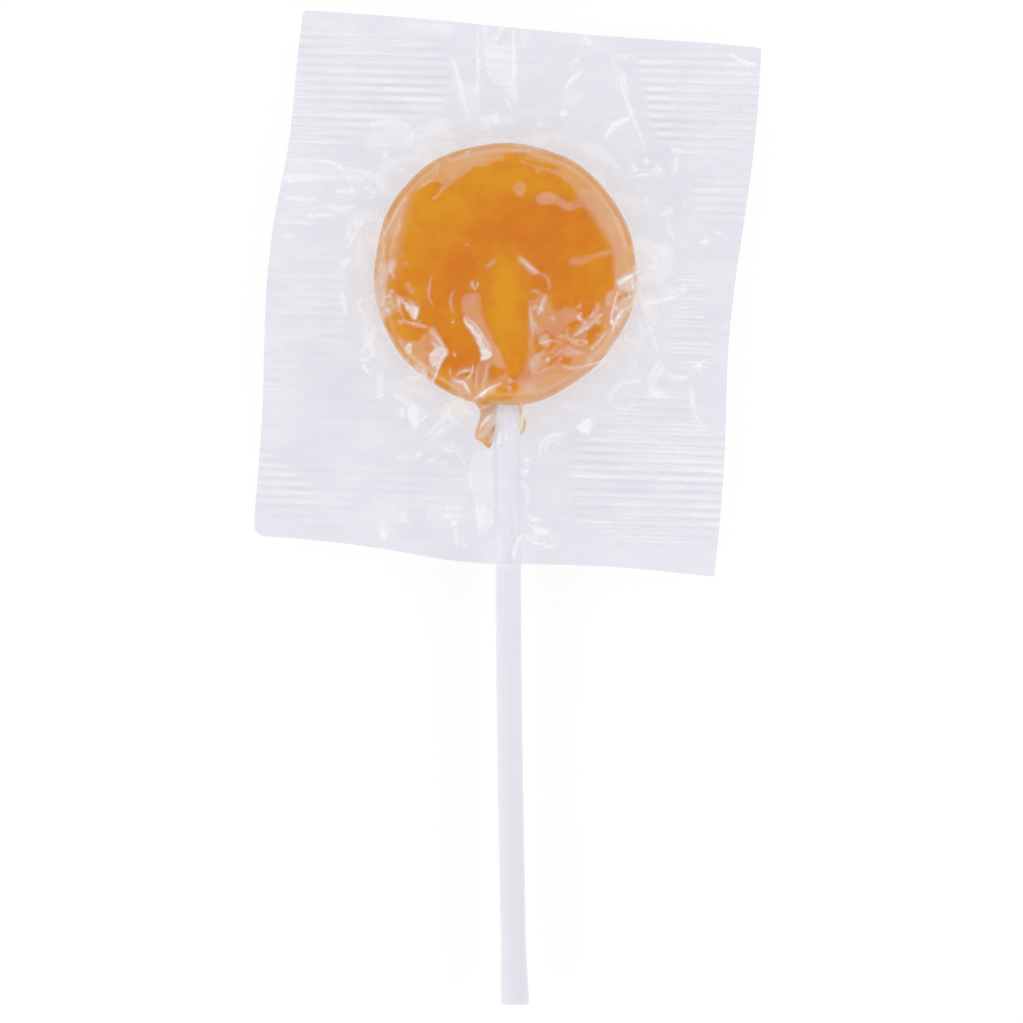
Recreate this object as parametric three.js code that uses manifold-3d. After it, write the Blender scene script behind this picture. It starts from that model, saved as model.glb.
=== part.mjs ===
// A flat boiled-sweet lollipop, still sealed in its clear film wrapper, lying on its back.
// Millimetres, +Z up. The origin is on the surface that it lies on, under the centre of the sweet.
// +Y runs from the stick towards the top of the sweet, and +X is to the right of the shown side.
import * as THREE from "three";
import { mergeVertices } from "three/addons/utils/BufferGeometryUtils.js";
import Module from "manifold-3d";

// ---- Driving dimensions ----
const SWEET_RADIUS = 16.45;
const SWEET_FACE = 3.1; // half the thickness of the disc, over its flat middle
const SWEET_RIM = 0.9; // half the thickness of the disc at its rim
const SWEET_FLAT = 0.6; // the flat middle reaches this share of the radius
const HUMP_RISE = 0.9; // the swelling over the stick, above each face
const HUMP_TOP = 3; // y of the hump's round end
const HUMP_HALF_WIDTH = 4.6; // below its round end
const NECK_HALF_WIDTH = 2.9; // where the stick comes out
const FIN_THICKNESS = 0.8; // of the sweet that was squeezed out along the stick

const STICK_RADIUS = 1.6;
const STICK_TOP = 2.2; // y of the end that is inside the sweet
const STICK_BOTTOM = -91.4; // y of the free end
const STICK_X = 0.4; // x of the stick where it leaves the sweet
const STICK_BOW = 0.9; // how far the free end bends towards +X
const BOW_START = -18; // y where the bend begins
const FLARE = 0.11; // the cut end is wider by this share
const FLARE_LENGTH = 8;
const CUT_EDGE = 0.45; // height of the cut end's rounded edge

const FILM = 0.25; // thickness of one sheet of film
const GAP = 0.25; // air between neighbouring pieces
const WRAP_WIDTH = 57.3;
const WRAP_HEIGHT = 65.8;
const WRAP_CENTRE = [0.5, -2.3];
const WRAP_TURN = THREE.MathUtils.degToRad(-5);
const POCKET_RADIUS = 20.9; // where the two sheets part round the sweet
const TENT_SLOPE = 0.37; // how steeply the film comes down from the sweet's shoulder
const TENT_TOP = 2.7; // half the tent's height where it meets the shoulder
const PLEATS = 16; // round the sweet
const PLEAT_DEPTH = 0.2; // as a share of the tent's height
const DROOP = 0.0014; // the film hangs lower by this, times the square of the way out
const CHANNEL_TOP = -12; // y where the channel round the stick starts, inside the pocket
const CHANNEL_STEP = 7; // down the stick from one of these half widths to the next
const CHANNEL_HALF_WIDTHS = [9, 6.6, 5.2, 4.2, 3.5];

const MID = SWEET_FACE + HUMP_RISE + GAP + FILM; // height of the seal and of the stick's axis
const SEGMENTS = 4 * PLEATS; // round the sweet and its pocket

const { clamp, lerp, smoothstep } = THREE.MathUtils;
const wasm = await Module();
wasm.setup();

// ---- Solids from three.js geometry, and back ----
function solidFrom(geometry) {
  const bare = geometry.index ? geometry.toNonIndexed() : geometry.clone();
  bare.deleteAttribute("normal");
  bare.deleteAttribute("uv");
  const merged = mergeVertices(bare, 1e-4);
  return new wasm.Manifold(
    new wasm.Mesh({
      numProp: 3,
      vertProperties: merged.attributes.position.array,
      triVerts: new Uint32Array(merged.index.array),
    }),
  );
}

function geometryFrom(solid) {
  const mesh = solid.getMesh();
  const positions = new Float32Array(mesh.numVert * 3);
  for (let i = 0; i < mesh.numVert; i++) {
    const start = i * mesh.numProp;
    positions.set(mesh.vertProperties.subarray(start, start + 3), i * 3);
  }
  const geometry = new THREE.BufferGeometry();
  geometry.setAttribute("position", new THREE.BufferAttribute(positions, 3));
  geometry.setIndex(new THREE.BufferAttribute(mesh.triVerts, 1));
  geometry.computeVertexNormals();
  return geometry;
}

function meshSolid(positions, faces) {
  const geometry = new THREE.BufferGeometry();
  geometry.setAttribute("position", new THREE.Float32BufferAttribute(positions, 3));
  geometry.setIndex(faces);
  return solidFrom(geometry);
}

// A round body on rings about the z axis. Each ring lies at a share of reach(turn), and
// heights(x, y) gives the body's top and bottom there.
function ringedBody(shares, reach, heights) {
  const positions = [];
  const faces = [];
  const layer = (side) => {
    const centre = positions.length / 3;
    positions.push(0, 0, heights(0, 0)[side]);
    for (const share of shares)
      for (let s = 0; s < SEGMENTS; s++) {
        const turn = (s / SEGMENTS) * 2 * Math.PI;
        const x = share * reach(turn) * Math.cos(turn);
        const y = share * reach(turn) * Math.sin(turn);
        positions.push(x, y, heights(x, y)[side]);
      }
    const at = (ring, s) => centre + 1 + ring * SEGMENTS + (s % SEGMENTS);
    return [centre, at];
  };
  const [topCentre, top] = layer(0);
  const [bottomCentre, bottom] = layer(1);
  const quad = (a, b, c, d) => faces.push(a, b, c, a, c, d);
  const rim = shares.length - 1;
  for (let s = 0; s < SEGMENTS; s++) {
    faces.push(topCentre, top(0, s), top(0, s + 1));
    faces.push(bottomCentre, bottom(0, s + 1), bottom(0, s));
    for (let r = 0; r < rim; r++) {
      quad(top(r, s), top(r + 1, s), top(r + 1, s + 1), top(r, s + 1));
      quad(bottom(r, s), bottom(r, s + 1), bottom(r + 1, s + 1), bottom(r + 1, s));
    }
    quad(top(rim, s), bottom(rim, s), bottom(rim, s + 1), top(rim, s + 1));
  }
  return meshSolid(positions, faces);
}

// A body through sections that follow each other down the stick, each { y, outline }.
// All the outlines are convex lists of [x, z] with the same number of points, anticlockwise.
function loftDown(sections) {
  const sides = sections[0].outline.length;
  const positions = sections.flatMap(({ y, outline }) => outline.flatMap(([x, z]) => [x, y, z]));
  const faces = [];
  const last = (sections.length - 1) * sides;
  for (let first = 0; first < last; first += sides)
    for (let s = 0; s < sides; s++) {
      const [a, b] = [first + s, first + ((s + 1) % sides)];
      faces.push(a, b, b + sides, a, b + sides, a + sides);
    }
  for (let s = 1; s < sides - 1; s++) {
    faces.push(0, s + 1, s);
    faces.push(last, last + s, last + s + 1);
  }
  return meshSolid(positions, faces);
}

// ---- The sweet ----
// The sweet's uneven round outline.
function sweetReach(turn) {
  const threefold = 0.12 * Math.cos(3 * turn - 0.6);
  const fivefold = 0.1 * Math.cos(5 * turn + 1);
  const nicks = 0.06 * Math.cos(11 * turn + 2);
  return SWEET_RADIUS + threefold + fivefold + nicks;
}

// The hump over the stick narrows to the neck. Its top is level, so that the whole can lie on it.
function humpRise(x, y) {
  const endLength = 0.25; // of the round end, as a share of the hump
  const flank = 1.6; // above 1, so that the top is level
  const down = clamp((HUMP_TOP - y) / (HUMP_TOP + SWEET_RADIUS), 0, 1);
  const roundEnd = Math.sqrt(1 - (1 - Math.min(down / endLength, 1)) ** 2);
  const halfWidth = roundEnd * lerp(HUMP_HALF_WIDTH, NECK_HALF_WIDTH, down);
  const off = Math.abs(x - STICK_X) / (halfWidth + 1e-6);
  return HUMP_RISE * clamp(flank * (1 - off ** 2), 0, 1);
}

// Half the sweet's thickness: a flat middle, a rounded shoulder, and the hump.
function sweetHalf(x, y) {
  const share = Math.min(Math.hypot(x, y) / sweetReach(Math.atan2(y, x)), 1);
  const shoulder = Math.max(0, (share - SWEET_FLAT) / (1 - SWEET_FLAT));
  const crown = (SWEET_FACE - SWEET_RIM) * Math.sqrt(1 - shoulder ** 3);
  const hump = humpRise(x, y) * Math.sqrt(1 - shoulder ** 6);
  return SWEET_RIM + crown + hump;
}

// The disc with its hump, or the same grown on all sides to make room for it.
function disc(growth) {
  const shares = [0.13, 0.27, 0.42, SWEET_FLAT, 0.72, 0.83, 0.91, 0.97, 1];
  const shrink = SWEET_RADIUS / (SWEET_RADIUS + growth);
  return ringedBody(
    shares,
    (turn) => sweetReach(turn) / shrink,
    (x, y) => {
      const half = sweetHalf(x * shrink, y * shrink) + growth;
      return [MID + half, MID - half];
    },
  );
}

// A thin fin of sweet beside the stick, with a smooth edge through these corners.
function fin(corners) {
  const curve = new THREE.SplineCurve(corners.map(([x, y]) => new THREE.Vector2(x, y)));
  const outline = new THREE.Shape(curve.getPoints(3 * corners.length));
  const slab = new THREE.ExtrudeGeometry(outline, { depth: FIN_THICKNESS, bevelEnabled: false });
  return solidFrom(slab.translate(0, 0, MID - FIN_THICKNESS / 2));
}

function sweetSolid() {
  const left = fin([[0, -14], [-2.9, -15], [-2.4, -17.4], [-3.3, -19.2], [-1.9, -21.7], [-0.9, -20], [0, -14]]);
  const right = fin([[0.8, -14], [2.7, -15.4], [2.3, -17], [2.7, -18.6], [2.2, -20.4], [1.4, -18.6], [0.8, -14]]);
  const straightPart = 6; // sections are enough where the stick is cut out
  return disc(0).add(left).add(right).subtract(stickBody(GAP, straightPart));
}

// ---- The stick ----
const stickCentre = (y) => {
  const along = Math.max(0, (BOW_START - y) / (BOW_START - STICK_BOTTOM));
  return STICK_X + STICK_BOW * along ** 2;
};

function stickSection(y, radius, flare) {
  const sides = 20;
  const outline = [];
  for (let s = 0; s < sides; s++) {
    const turn = ((s + 0.5) / sides) * 2 * Math.PI;
    outline.push([stickCentre(y) + radius * (1 + flare) * Math.cos(turn), MID + radius * Math.sin(turn)]);
  }
  return { y, outline };
}

// The stick, or the same grown on all sides to make room for it.
function stickBody(growth, steps) {
  const top = STICK_TOP + growth;
  const bottom = STICK_BOTTOM - growth;
  const radius = STICK_RADIUS + growth;
  const sections = [];
  for (let i = 0; i <= steps; i++) {
    const y = lerp(top, bottom + CUT_EDGE, i / steps);
    const flare = FLARE * smoothstep(bottom + FLARE_LENGTH - y, 0, FLARE_LENGTH);
    sections.push(stickSection(y, radius, flare));
  }
  sections.push(stickSection(bottom + 0.3 * CUT_EDGE, 0.93 * radius, FLARE));
  sections.push(stickSection(bottom, 0.77 * radius, FLARE));
  return loftDown(sections);
}

// ---- The wrapper ----
// How high the sealed film lies. It is level round the sweet and along the stick, and waves beyond.
function sealHeight(x, y) {
  const pastSweet = smoothstep(Math.hypot(x, y), SWEET_RADIUS, 2 * SWEET_RADIUS);
  const pastChannel = smoothstep(Math.abs(x - STICK_X), 4, 13);
  const freedom = pastSweet * (y < 0 ? pastChannel : 1);
  const longWave = 0.9 * Math.sin(0.17 * y - 0.06 * x + 0.8);
  const crossWave = 0.6 * Math.sin(0.21 * x + 0.08 * y - 0.5);
  const droop = DROOP * (x ** 2 + 0.5 * y ** 2);
  return MID + freedom * (longWave + crossWave - droop);
}

// The two sealed sheets as one waving slab, larger than the wrapper's outline.
function sealedSheet() {
  const margin = 12;
  const slab = new THREE.BoxGeometry(WRAP_WIDTH + margin, WRAP_HEIGHT + margin, 2 * FILM, 20, 24, 1);
  const points = slab.attributes.position;
  for (let i = 0; i < points.count; i++) {
    const x = points.getX(i) + WRAP_CENTRE[0];
    const y = points.getY(i) + WRAP_CENTRE[1];
    points.setXYZ(i, x, y, points.getZ(i) + sealHeight(x, y));
  }
  return solidFrom(slab);
}

const pocketReach = (turn) => POCKET_RADIUS + 0.6 * Math.sin(3 * turn + 1) + 0.4 * Math.sin(7 * turn);

// Half the space between the sheets, where they slope in pleats from the sweet to the seal.
function tentHalf(x, y, phase) {
  const turn = Math.atan2(y, x);
  const pleat = Math.sin(PLEATS * turn) + 0.6 * Math.sin(9 * turn + phase);
  const slope = TENT_SLOPE * (1 + PLEAT_DEPTH * pleat);
  const closed = 0.02; // the two sheets all but touch at the seal
  return clamp(slope * (pocketReach(turn) - Math.hypot(x, y)), closed, TENT_TOP);
}

// The slopes round the sweet. wall is the film outside the space, or 0 for the space itself.
function tent(wall) {
  const [upperPhase, lowerPhase] = [0.4, 2.5]; // the sheets crease differently
  return ringedBody([0.62, 0.7, 0.78, 0.85, 0.92, 1], pocketReach, (x, y) => {
    const seal = sealHeight(x, y);
    return [seal + tentHalf(x, y, upperPhase) + wall, seal - tentHalf(x, y, lowerPhase) - wall];
  });
}

// The unsealed channel round the stick: the film leaves the stick in a straight line on both sides.
function channel(wall) {
  const radius = STICK_RADIUS + GAP + wall;
  const widen = radius / (STICK_RADIUS + GAP);
  const arcPoints = 6;
  const sections = CHANNEL_HALF_WIDTHS.map((bareHalfWidth, i) => {
    const y = CHANNEL_TOP - CHANNEL_STEP * i;
    const halfWidth = bareHalfWidth * widen;
    const leave = Math.acos(radius / halfWidth);
    const outline = [];
    for (const side of [0, Math.PI]) {
      outline.push([stickCentre(y) + halfWidth * Math.cos(side), MID]);
      for (let p = 0; p < arcPoints; p++) {
        const turn = side + lerp(leave, Math.PI - leave, p / (arcPoints - 1));
        outline.push([stickCentre(y) + radius * Math.cos(turn), MID + radius * Math.sin(turn)]);
      }
    }
    return { y, outline };
  });
  return loftDown(sections);
}

// Everything inside the wrapper's cut edges: a turned rectangle whose edges wave a little.
function cutEdges() {
  const steps = 14; // on each edge
  const outline = [];
  const edge = (bow, ripple, place) => {
    for (let i = 0; i < steps; i++) {
      const along = i / steps;
      const out = 1 + bow * Math.sin(Math.PI * along) + ripple * Math.sin(3 * Math.PI * along);
      const [across, up] = place(2 * along - 1, out);
      const corner = new THREE.Vector2((across * WRAP_WIDTH) / 2, (up * WRAP_HEIGHT) / 2);
      corner.rotateAround(new THREE.Vector2(), WRAP_TURN);
      outline.push(corner.add(new THREE.Vector2(...WRAP_CENTRE)));
    }
  };
  edge(0.006, 0.003, (along, out) => [along, out]);
  edge(-0.012, 0.012, (along, out) => [out, -along]);
  edge(0.008, -0.005, (along, out) => [-along, -out]);
  edge(0.042, -0.004, (along, out) => [-out, along]);
  const depth = 3 * MID;
  return solidFrom(new THREE.ExtrudeGeometry(new THREE.Shape(outline), { depth, bevelEnabled: false }));
}

function wrapperSolid() {
  const outside = sealedSheet().add(disc(GAP + FILM)).add(tent(FILM)).add(channel(FILM));
  const inside = disc(GAP).add(tent(0)).add(channel(0));
  return outside.subtract(inside).intersect(cutEdges());
}

// ---- The lollipop ----
function piece(name, solid, look) {
  const mesh = new THREE.Mesh(geometryFrom(solid), new THREE.MeshStandardMaterial(look));
  mesh.name = name;
  return mesh;
}

const boiledSugar = { color: 0xd68529, roughness: 0.15, metalness: 0 };
const whitePlastic = { color: 0xe6e6ef, roughness: 0.45, metalness: 0 };
const clearFilm = { color: 0xe5e5ed, roughness: 0.2, metalness: 0, transparent: true, opacity: 0.35 };

const lollipop = new THREE.Group();
lollipop.add(piece("sweet", sweetSolid(), boiledSugar));
lollipop.add(piece("stick", stickBody(0, 14), whitePlastic));
lollipop.add(piece("wrapper", wrapperSolid(), clearFilm));
export default lollipop;
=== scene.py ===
"""A flat orange boiled-sweet lollipop on a white stick, sealed in clear crimped film, lying on its back.

Run as a script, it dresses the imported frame. The same operators stand in a panel of the 3D view's sidebar.
Lengths inside the functions are millimetres, and Blender's own are metres.
"""

import math

import bpy
import numpy as np
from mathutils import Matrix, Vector


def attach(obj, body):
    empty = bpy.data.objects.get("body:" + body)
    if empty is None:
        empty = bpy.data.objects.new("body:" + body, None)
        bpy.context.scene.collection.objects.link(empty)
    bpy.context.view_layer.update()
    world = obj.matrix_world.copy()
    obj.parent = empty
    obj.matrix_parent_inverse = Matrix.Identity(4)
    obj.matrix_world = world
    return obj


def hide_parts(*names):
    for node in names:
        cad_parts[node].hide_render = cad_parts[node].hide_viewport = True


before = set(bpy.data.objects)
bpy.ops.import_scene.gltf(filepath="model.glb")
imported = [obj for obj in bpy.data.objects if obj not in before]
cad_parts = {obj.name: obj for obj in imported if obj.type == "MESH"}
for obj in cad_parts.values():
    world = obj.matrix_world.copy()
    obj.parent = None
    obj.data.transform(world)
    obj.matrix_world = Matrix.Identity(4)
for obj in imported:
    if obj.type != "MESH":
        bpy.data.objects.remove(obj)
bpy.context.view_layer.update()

bl_info = {
    "name": "Wrapped lollipop",
    "version": (1, 0, 0),
    "blender": (4, 5, 0),
    "location": "3D View > Sidebar > Lollipop",
    "description": "Builds a boiled-sweet lollipop in its clear crimped wrapper",
    "category": "Add Mesh",
}

MM = 0.001
BODY = "root"

# ---- Sizes that the solids also have, in millimetres ----
SWEET_RADIUS = 16.45
SWEET_FACE = 3.1  # half the disc's thickness over its flat middle
SWEET_RIM = 0.9  # the same at its rim
SWEET_FLAT = 0.6  # share of the radius that is flat
HUMP_RISE = 0.9
HUMP_TOP = 3.0
HUMP_HALF_WIDTH = 4.6
NECK_HALF_WIDTH = 2.9
STICK_RADIUS = 1.6
STICK_TOP = 2.2
STICK_BOTTOM = -91.4
STICK_X = 0.4
STICK_BOW = 0.9
BOW_START = -18.0
FLARE = 0.11
FLARE_LENGTH = 8.0
MID = 4.5  # height of the seal and of the stick's axis
WRAP_WIDTH = 57.3
WRAP_HEIGHT = 65.8
WRAP_CENTRE = (0.5, -2.3)
WRAP_TURN = math.radians(-5)
POCKET_RADIUS = 20.9
TENT_SLOPE = 0.37
TENT_TOP = 2.7
DROOP = 0.0014
CHANNEL_TOP = -12.0
CHANNEL_STEP = 7.0
CHANNEL_HALF_WIDTHS = (9, 6.6, 5.2, 4.2, 3.5)

# ---- Sizes of the finish, in millimetres ----
RIM_ROUNDING = 0.8  # radius of the disc's rounded edge
DISC_SECTORS = 220
DISC_RINGS = 26
RIM_RINGS = 6
DRIP_RINGS = 5  # from a drip's edge to its middle
FACE_ABOVE = 0.5  # points of the sweet this far from its middle height are on a face
STICK_SIDES = 64
STICK_STATIONS = 160  # rings along the stick, down to where its end's rounding starts
STICK_ROUNDING = 0.45
# The rings of the rounded end: height above the end, share of the radius.
STICK_END = ((0.3, 0.995), (0.18, 0.975), (0.08, 0.94), (0.02, 0.88), (0, 0.8), (0, 0.5), (0.05, 0.35))
WRAP_EDGE = -36.0  # y where the stick comes out of the wrapper
CHANNEL_AIR = 0.15  # between the stick and the film
RIB_TURN = math.radians(-1.8)  # the ribs aren't square to the cut edges
LOWER_CORNER = 1.4  # radius of the wrapper's lower left corner
UPPER_CORNER = 0.5
CREASE_RISE = 0.22  # a crease's height, as a share of its width
FOLD_SIZE = 5.0  # of the film's facets round the sweet
SMALL_FOLD_SIZE = 2.8
SEAL_FOLD_SIZE = 9.0
SEAL_FOLD_SEED = 90
SLOPE_RADIUS = 18.6  # where the slope round the sweet is crumpled most
SLOPE_WIDTH = 2.6
FRONT_SEEDS = (20, 30)  # of the upper sheet's folds and small folds
BACK_SEEDS = (50, 60)
FRONT_PLEATS = 0.4  # phase of the pleats in the upper sheet
BACK_PLEATS = 2.5
FRONT_LIFT = 0.04  # keeps the sheets apart where they are sealed
BACK_LIFT = -0.02
FILM_LOWEST = 0.03
FILM_HIGHEST = 9.15
FRONT_GRID = (280, 328)  # columns and rows of points in the upper sheet
BACK_GRID = (210, 250)
# Where the points stand closer together, from -1 to 1 over the sheet: from, to, and how much closer.
CROWDED_ACROSS = (-0.62, 0.62, 0.55)
CROWDED_UP = (-0.5, 0.64, 0.3)
RIBS_START = 17.5  # distance from the sweet's centre at which the ribs begin
RIBS_FULL = 21.0

# ---- How white the film looks, from 0 to 1 ----
# Over the sweet, the milk where the film stands off is partly haze and partly painted reflection.
STANDING_HAZE_AND_PAINTED_LIGHT = 0.17  # where it stands off the sweet
HAZE_AND_PAINTED_LIGHT_SHARE = 0.78  # share of the veils that shows
# Painted glow: just outside the sweet's rim both sheets are made milky, for the light that the sugar spills
# into the film.
RIM_PAINTED_GLOW = 0.14  # just outside the sweet's rim
BACK_RIM_PAINTED_GLOW = 0.12
BACK_WHITE = 0.2  # the lower sheet's creases, as a share of the upper one's
GLINT = 0.34  # facets that tilt to the light
SMALL_GLINT = 0.1
# How strong the ribs' painted highlights are outside the patches, and on the lower sheet.
PLAIN_RIBS = 0.1  # ribs outside the patches where they stand out
BACK_RIBS = 0.4  # the lower sheet's ribs, as a share of the upper one's


# ---- Curves and noise ----
def lerp(a, b, share):
    return a + (b - a) * share


def smoothstep(value, low, high):
    share = np.clip((value - low) / (high - low), 0, 1)
    return share * share * (3 - 2 * share)


def bell(value, middle, width):
    """1 in the middle and towards 0 past the width."""
    return np.exp(-(((value - middle) / width) ** 2))


def soft_max(a, b, blend):
    """The larger of two heights, with a rounded corner where they cross."""
    gap = np.clip(blend - np.abs(a - b), 0, None) / blend
    return np.maximum(a, b) + gap**2 * blend / 4


def soft_noise(x, y, size, seed):
    """Smooth noise from -1 to 1 whose features are about size across."""
    lattice = 64
    table = np.random.default_rng(seed).uniform(-1, 1, (lattice, lattice))
    u, v = np.asarray(x) / size + 100.3, np.asarray(y) / size + 100.7
    i, j = np.floor(u).astype(int), np.floor(v).astype(int)
    f, g = u - i, v - j
    f, g = f * f * (3 - 2 * f), g * g * (3 - 2 * g)
    low = lerp(table[i % lattice, j % lattice], table[(i + 1) % lattice, j % lattice], f)
    high = lerp(table[i % lattice, (j + 1) % lattice], table[(i + 1) % lattice, (j + 1) % lattice], f)
    return lerp(low, high, g)


def film_folds(x, y, size, seed):
    """Creased film, from about -1 to 1: flat facets that meet in sharp, bending folds."""
    draw = np.random.default_rng(seed)
    total = 0
    for fold in range(4):
        turn = draw.uniform(0, math.pi)
        length = size * draw.uniform(0.7, 1.6)
        bend = 0.6 * size * soft_noise(x, y, 2.2 * size, seed + 11 * fold)
        along = (x * math.cos(turn) + y * math.sin(turn) + bend) / length + draw.uniform()
        facets = 1 - 4 * np.abs(along % 1 - 0.5)
        total = total + facets * (0.5 + 0.5 * soft_noise(x, y, 1.7 * size, seed + 11 * fold + 5))
    return total / 2


def ragged(x, y, size, shift, fine_shift, seeds):
    """The places moved a little by noise, so that an outline gets a ragged border on them."""
    (x_seed, fine_x_seed), (y_seed, fine_y_seed) = seeds
    fine = 0.4
    moved_x = x + shift * soft_noise(x, y, size, x_seed) + fine_shift * soft_noise(x, y, fine, fine_x_seed)
    moved_y = y + shift * soft_noise(x, y, size, y_seed) + fine_shift * soft_noise(x, y, fine, fine_y_seed)
    return moved_x, moved_y


def smooth_line(points, closed=False, per_span=6):
    """Points along a smooth curve through these."""
    line = np.array(points, float)
    if closed:
        padded = np.vstack([line[-1], line, line[0], line[1]])
    else:
        padded = np.vstack([2 * line[0] - line[1], line, 2 * line[-1] - line[-2]])
    share = np.arange(per_span)[:, None] / per_span
    spans = []
    for a, b, c, d in zip(padded, padded[1:], padded[2:], padded[3:]):
        spans.append(
            0.5 * (2 * b + (c - a) * share + (2 * a - 5 * b + 4 * c - d) * share**2
                   + (3 * b - a - 3 * c + d) * share**3)
        )
    return np.vstack(spans if closed else [*spans, line[-1:]])


def places_near(x, y, line, reach):
    """Numbers of the places within reach of the box round a line."""
    low, high = line.min(0) - reach, line.max(0) + reach
    return np.flatnonzero((x > low[0]) & (x < high[0]) & (y > low[1]) & (y < high[1]))


def distance_to_line(x, y, line):
    """How far each place is from a line, how far along it, from 0 to 1, and on which side, -1 or 1."""
    start, step = line[:-1], np.diff(line, axis=0)
    lengths = np.hypot(*step.T) + 1e-9
    along = (x[:, None] - start[:, 0]) * step[:, 0] + (y[:, None] - start[:, 1]) * step[:, 1]
    along = np.clip(along / lengths**2, 0, 1)
    gap_x = x[:, None] - start[:, 0] - along * step[:, 0]
    gap_y = y[:, None] - start[:, 1] - along * step[:, 1]
    gaps = np.hypot(gap_x, gap_y)
    nearest = gaps.argmin(1)
    row = np.arange(len(x))
    before = np.concatenate([[0], np.cumsum(lengths)[:-1]])
    share = (before[nearest] + along[row, nearest] * lengths[nearest]) / lengths.sum()
    cross = step[nearest, 0] * gap_y[row, nearest] - step[nearest, 1] * gap_x[row, nearest]
    return gaps[row, nearest], share, np.sign(cross)


def inside_patch(x, y, corners, soft):
    """1 inside a smooth closed outline and 0 outside, over a soft edge."""
    outline = smooth_line(corners, closed=True, per_span=4)
    result = np.zeros(len(x))
    near = places_near(x, y, outline, soft)
    if not len(near):
        return result
    px, py = x[near], y[near]
    inside = np.zeros(len(near), bool)
    for (ax, ay), (bx, by) in zip(outline, np.roll(outline, -1, 0)):
        if ay != by:
            inside ^= ((ay > py) != (by > py)) & (px < (bx - ax) * (py - ay) / (by - ay) + ax)
    gap, _, _ = distance_to_line(px, py, np.vstack([outline, outline[:1]]))
    result[near] = smoothstep(np.where(inside, gap, -gap), -soft, soft)
    return result


# ---- The solids' own forms ----
def sweet_reach(turn):
    """The disc's radius, which swings a little round the sweet."""
    return (SWEET_RADIUS + 0.12 * np.cos(3 * turn - 0.6) + 0.1 * np.cos(5 * turn + 1)
            + 0.06 * np.cos(11 * turn + 2))


def share_of_reach(x, y):
    return np.hypot(x, y) / sweet_reach(np.arctan2(y, x))


def past_rim(x, y):
    """How far outside the sweet's rim a place is, below 0 inside it."""
    return np.hypot(x, y) - sweet_reach(np.arctan2(y, x))


def hump_rise(x, y):
    """The swelling over the stick."""
    down = np.clip((HUMP_TOP - y) / (HUMP_TOP + SWEET_RADIUS), 0, 1)
    half_width = lerp(HUMP_HALF_WIDTH, NECK_HALF_WIDTH, down)
    past_end = np.clip(y - HUMP_TOP + HUMP_HALF_WIDTH, 0, None)
    off = np.hypot(x - STICK_X, past_end) / half_width
    return HUMP_RISE * (1 - smoothstep(off, 0.2, 1.35))


def sweet_half(x, y):
    """Half the sweet's thickness at a place."""
    share = np.minimum(share_of_reach(x, y), 1)
    shoulder = np.clip((share - SWEET_FLAT) / (1 - SWEET_FLAT), 0, 1)
    crown = (SWEET_FACE - SWEET_RIM) * np.sqrt(1 - shoulder**3)
    return SWEET_RIM + crown + hump_rise(x, y) * np.sqrt(1 - shoulder**6)


def stick_centre(y):
    along = np.clip((BOW_START - y) / (BOW_START - STICK_BOTTOM), 0, 1)
    return STICK_X + STICK_BOW * along**2


def seal_height(x, y):
    """How high the sealed film lies."""
    past_sweet = smoothstep(np.hypot(x, y), SWEET_RADIUS, 2 * SWEET_RADIUS)
    past_channel = smoothstep(np.abs(x - STICK_X), 4, 13)
    freedom = past_sweet * np.where(y < 0, past_channel, 1)
    long_wave = 0.9 * np.sin(0.17 * y - 0.06 * x + 0.8)
    cross_wave = 0.6 * np.sin(0.21 * x + 0.08 * y - 0.5)
    return MID + freedom * (long_wave + cross_wave - DROOP * (x**2 + 0.5 * y**2))


def pocket_reach(turn):
    """Where the two sheets part, round the sweet."""
    return POCKET_RADIUS + 0.6 * np.sin(3 * turn + 1) + 0.4 * np.sin(7 * turn)


def tent_half(x, y, phase):
    """Half the space between the sheets, where they slope in pleats from the sweet to the seal."""
    turn = np.arctan2(y, x)
    pleat = np.sin(16 * turn) + 0.6 * np.sin(9 * turn + phase)
    slope = TENT_SLOPE * (1 + 0.2 * pleat)
    return np.clip(slope * (pocket_reach(turn) - np.hypot(x, y)), 0, TENT_TOP)


def channel_half(x, y):
    """Half the space between the sheets round the stick: they leave it in straight lines."""
    radius = STICK_RADIUS + CHANNEL_AIR
    stations = (CHANNEL_TOP - y) / CHANNEL_STEP
    half_width = np.interp(stations, range(len(CHANNEL_HALF_WIDTHS)), CHANNEL_HALF_WIDTHS)
    off = np.abs(x - stick_centre(y))
    touch = radius**2 / half_width
    on_stick = np.sqrt(np.clip(radius**2 - off**2, 0, None))
    corner = radius * np.sqrt(1 - (radius / half_width) ** 2)
    beside = corner * np.clip((half_width - off) / (half_width - touch), 0, None)
    fade = smoothstep(-y, -CHANNEL_TOP - 3, -CHANNEL_TOP)
    return np.where(off < touch, on_stick, beside) * fade


# ---- Making objects ----
def add_mesh(name, points, faces, material, node):
    """A mesh object in metres from points in millimetres, riding on the body in place of its solid."""
    old = bpy.data.objects.get(name)
    if old:
        bpy.data.objects.remove(old)
    mesh = bpy.data.meshes.new(name)
    mesh.from_pydata((np.asarray(points) * MM).tolist(), [], faces)
    mesh.validate()
    shade_smooth(mesh)
    mesh.materials.append(material)
    piece = bpy.data.objects.new(name, mesh)
    bpy.context.scene.collection.objects.link(piece)
    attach(piece, BODY)
    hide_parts(node)
    return piece


def shade_smooth(mesh):
    mesh.polygons.foreach_set("use_smooth", [True] * len(mesh.polygons))


def mesh_points(mesh):
    flat = np.zeros(len(mesh.vertices) * 3)
    mesh.vertices.foreach_get("co", flat)
    return flat.reshape(-1, 3) / MM


def set_values(mesh, name, values):
    """A number at each of the mesh's points, which its material reads."""
    layer = mesh.attributes.get(name) or mesh.attributes.new(name, "FLOAT", "POINT")
    layer.data.foreach_set("value", np.asarray(values, np.float32))


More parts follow.
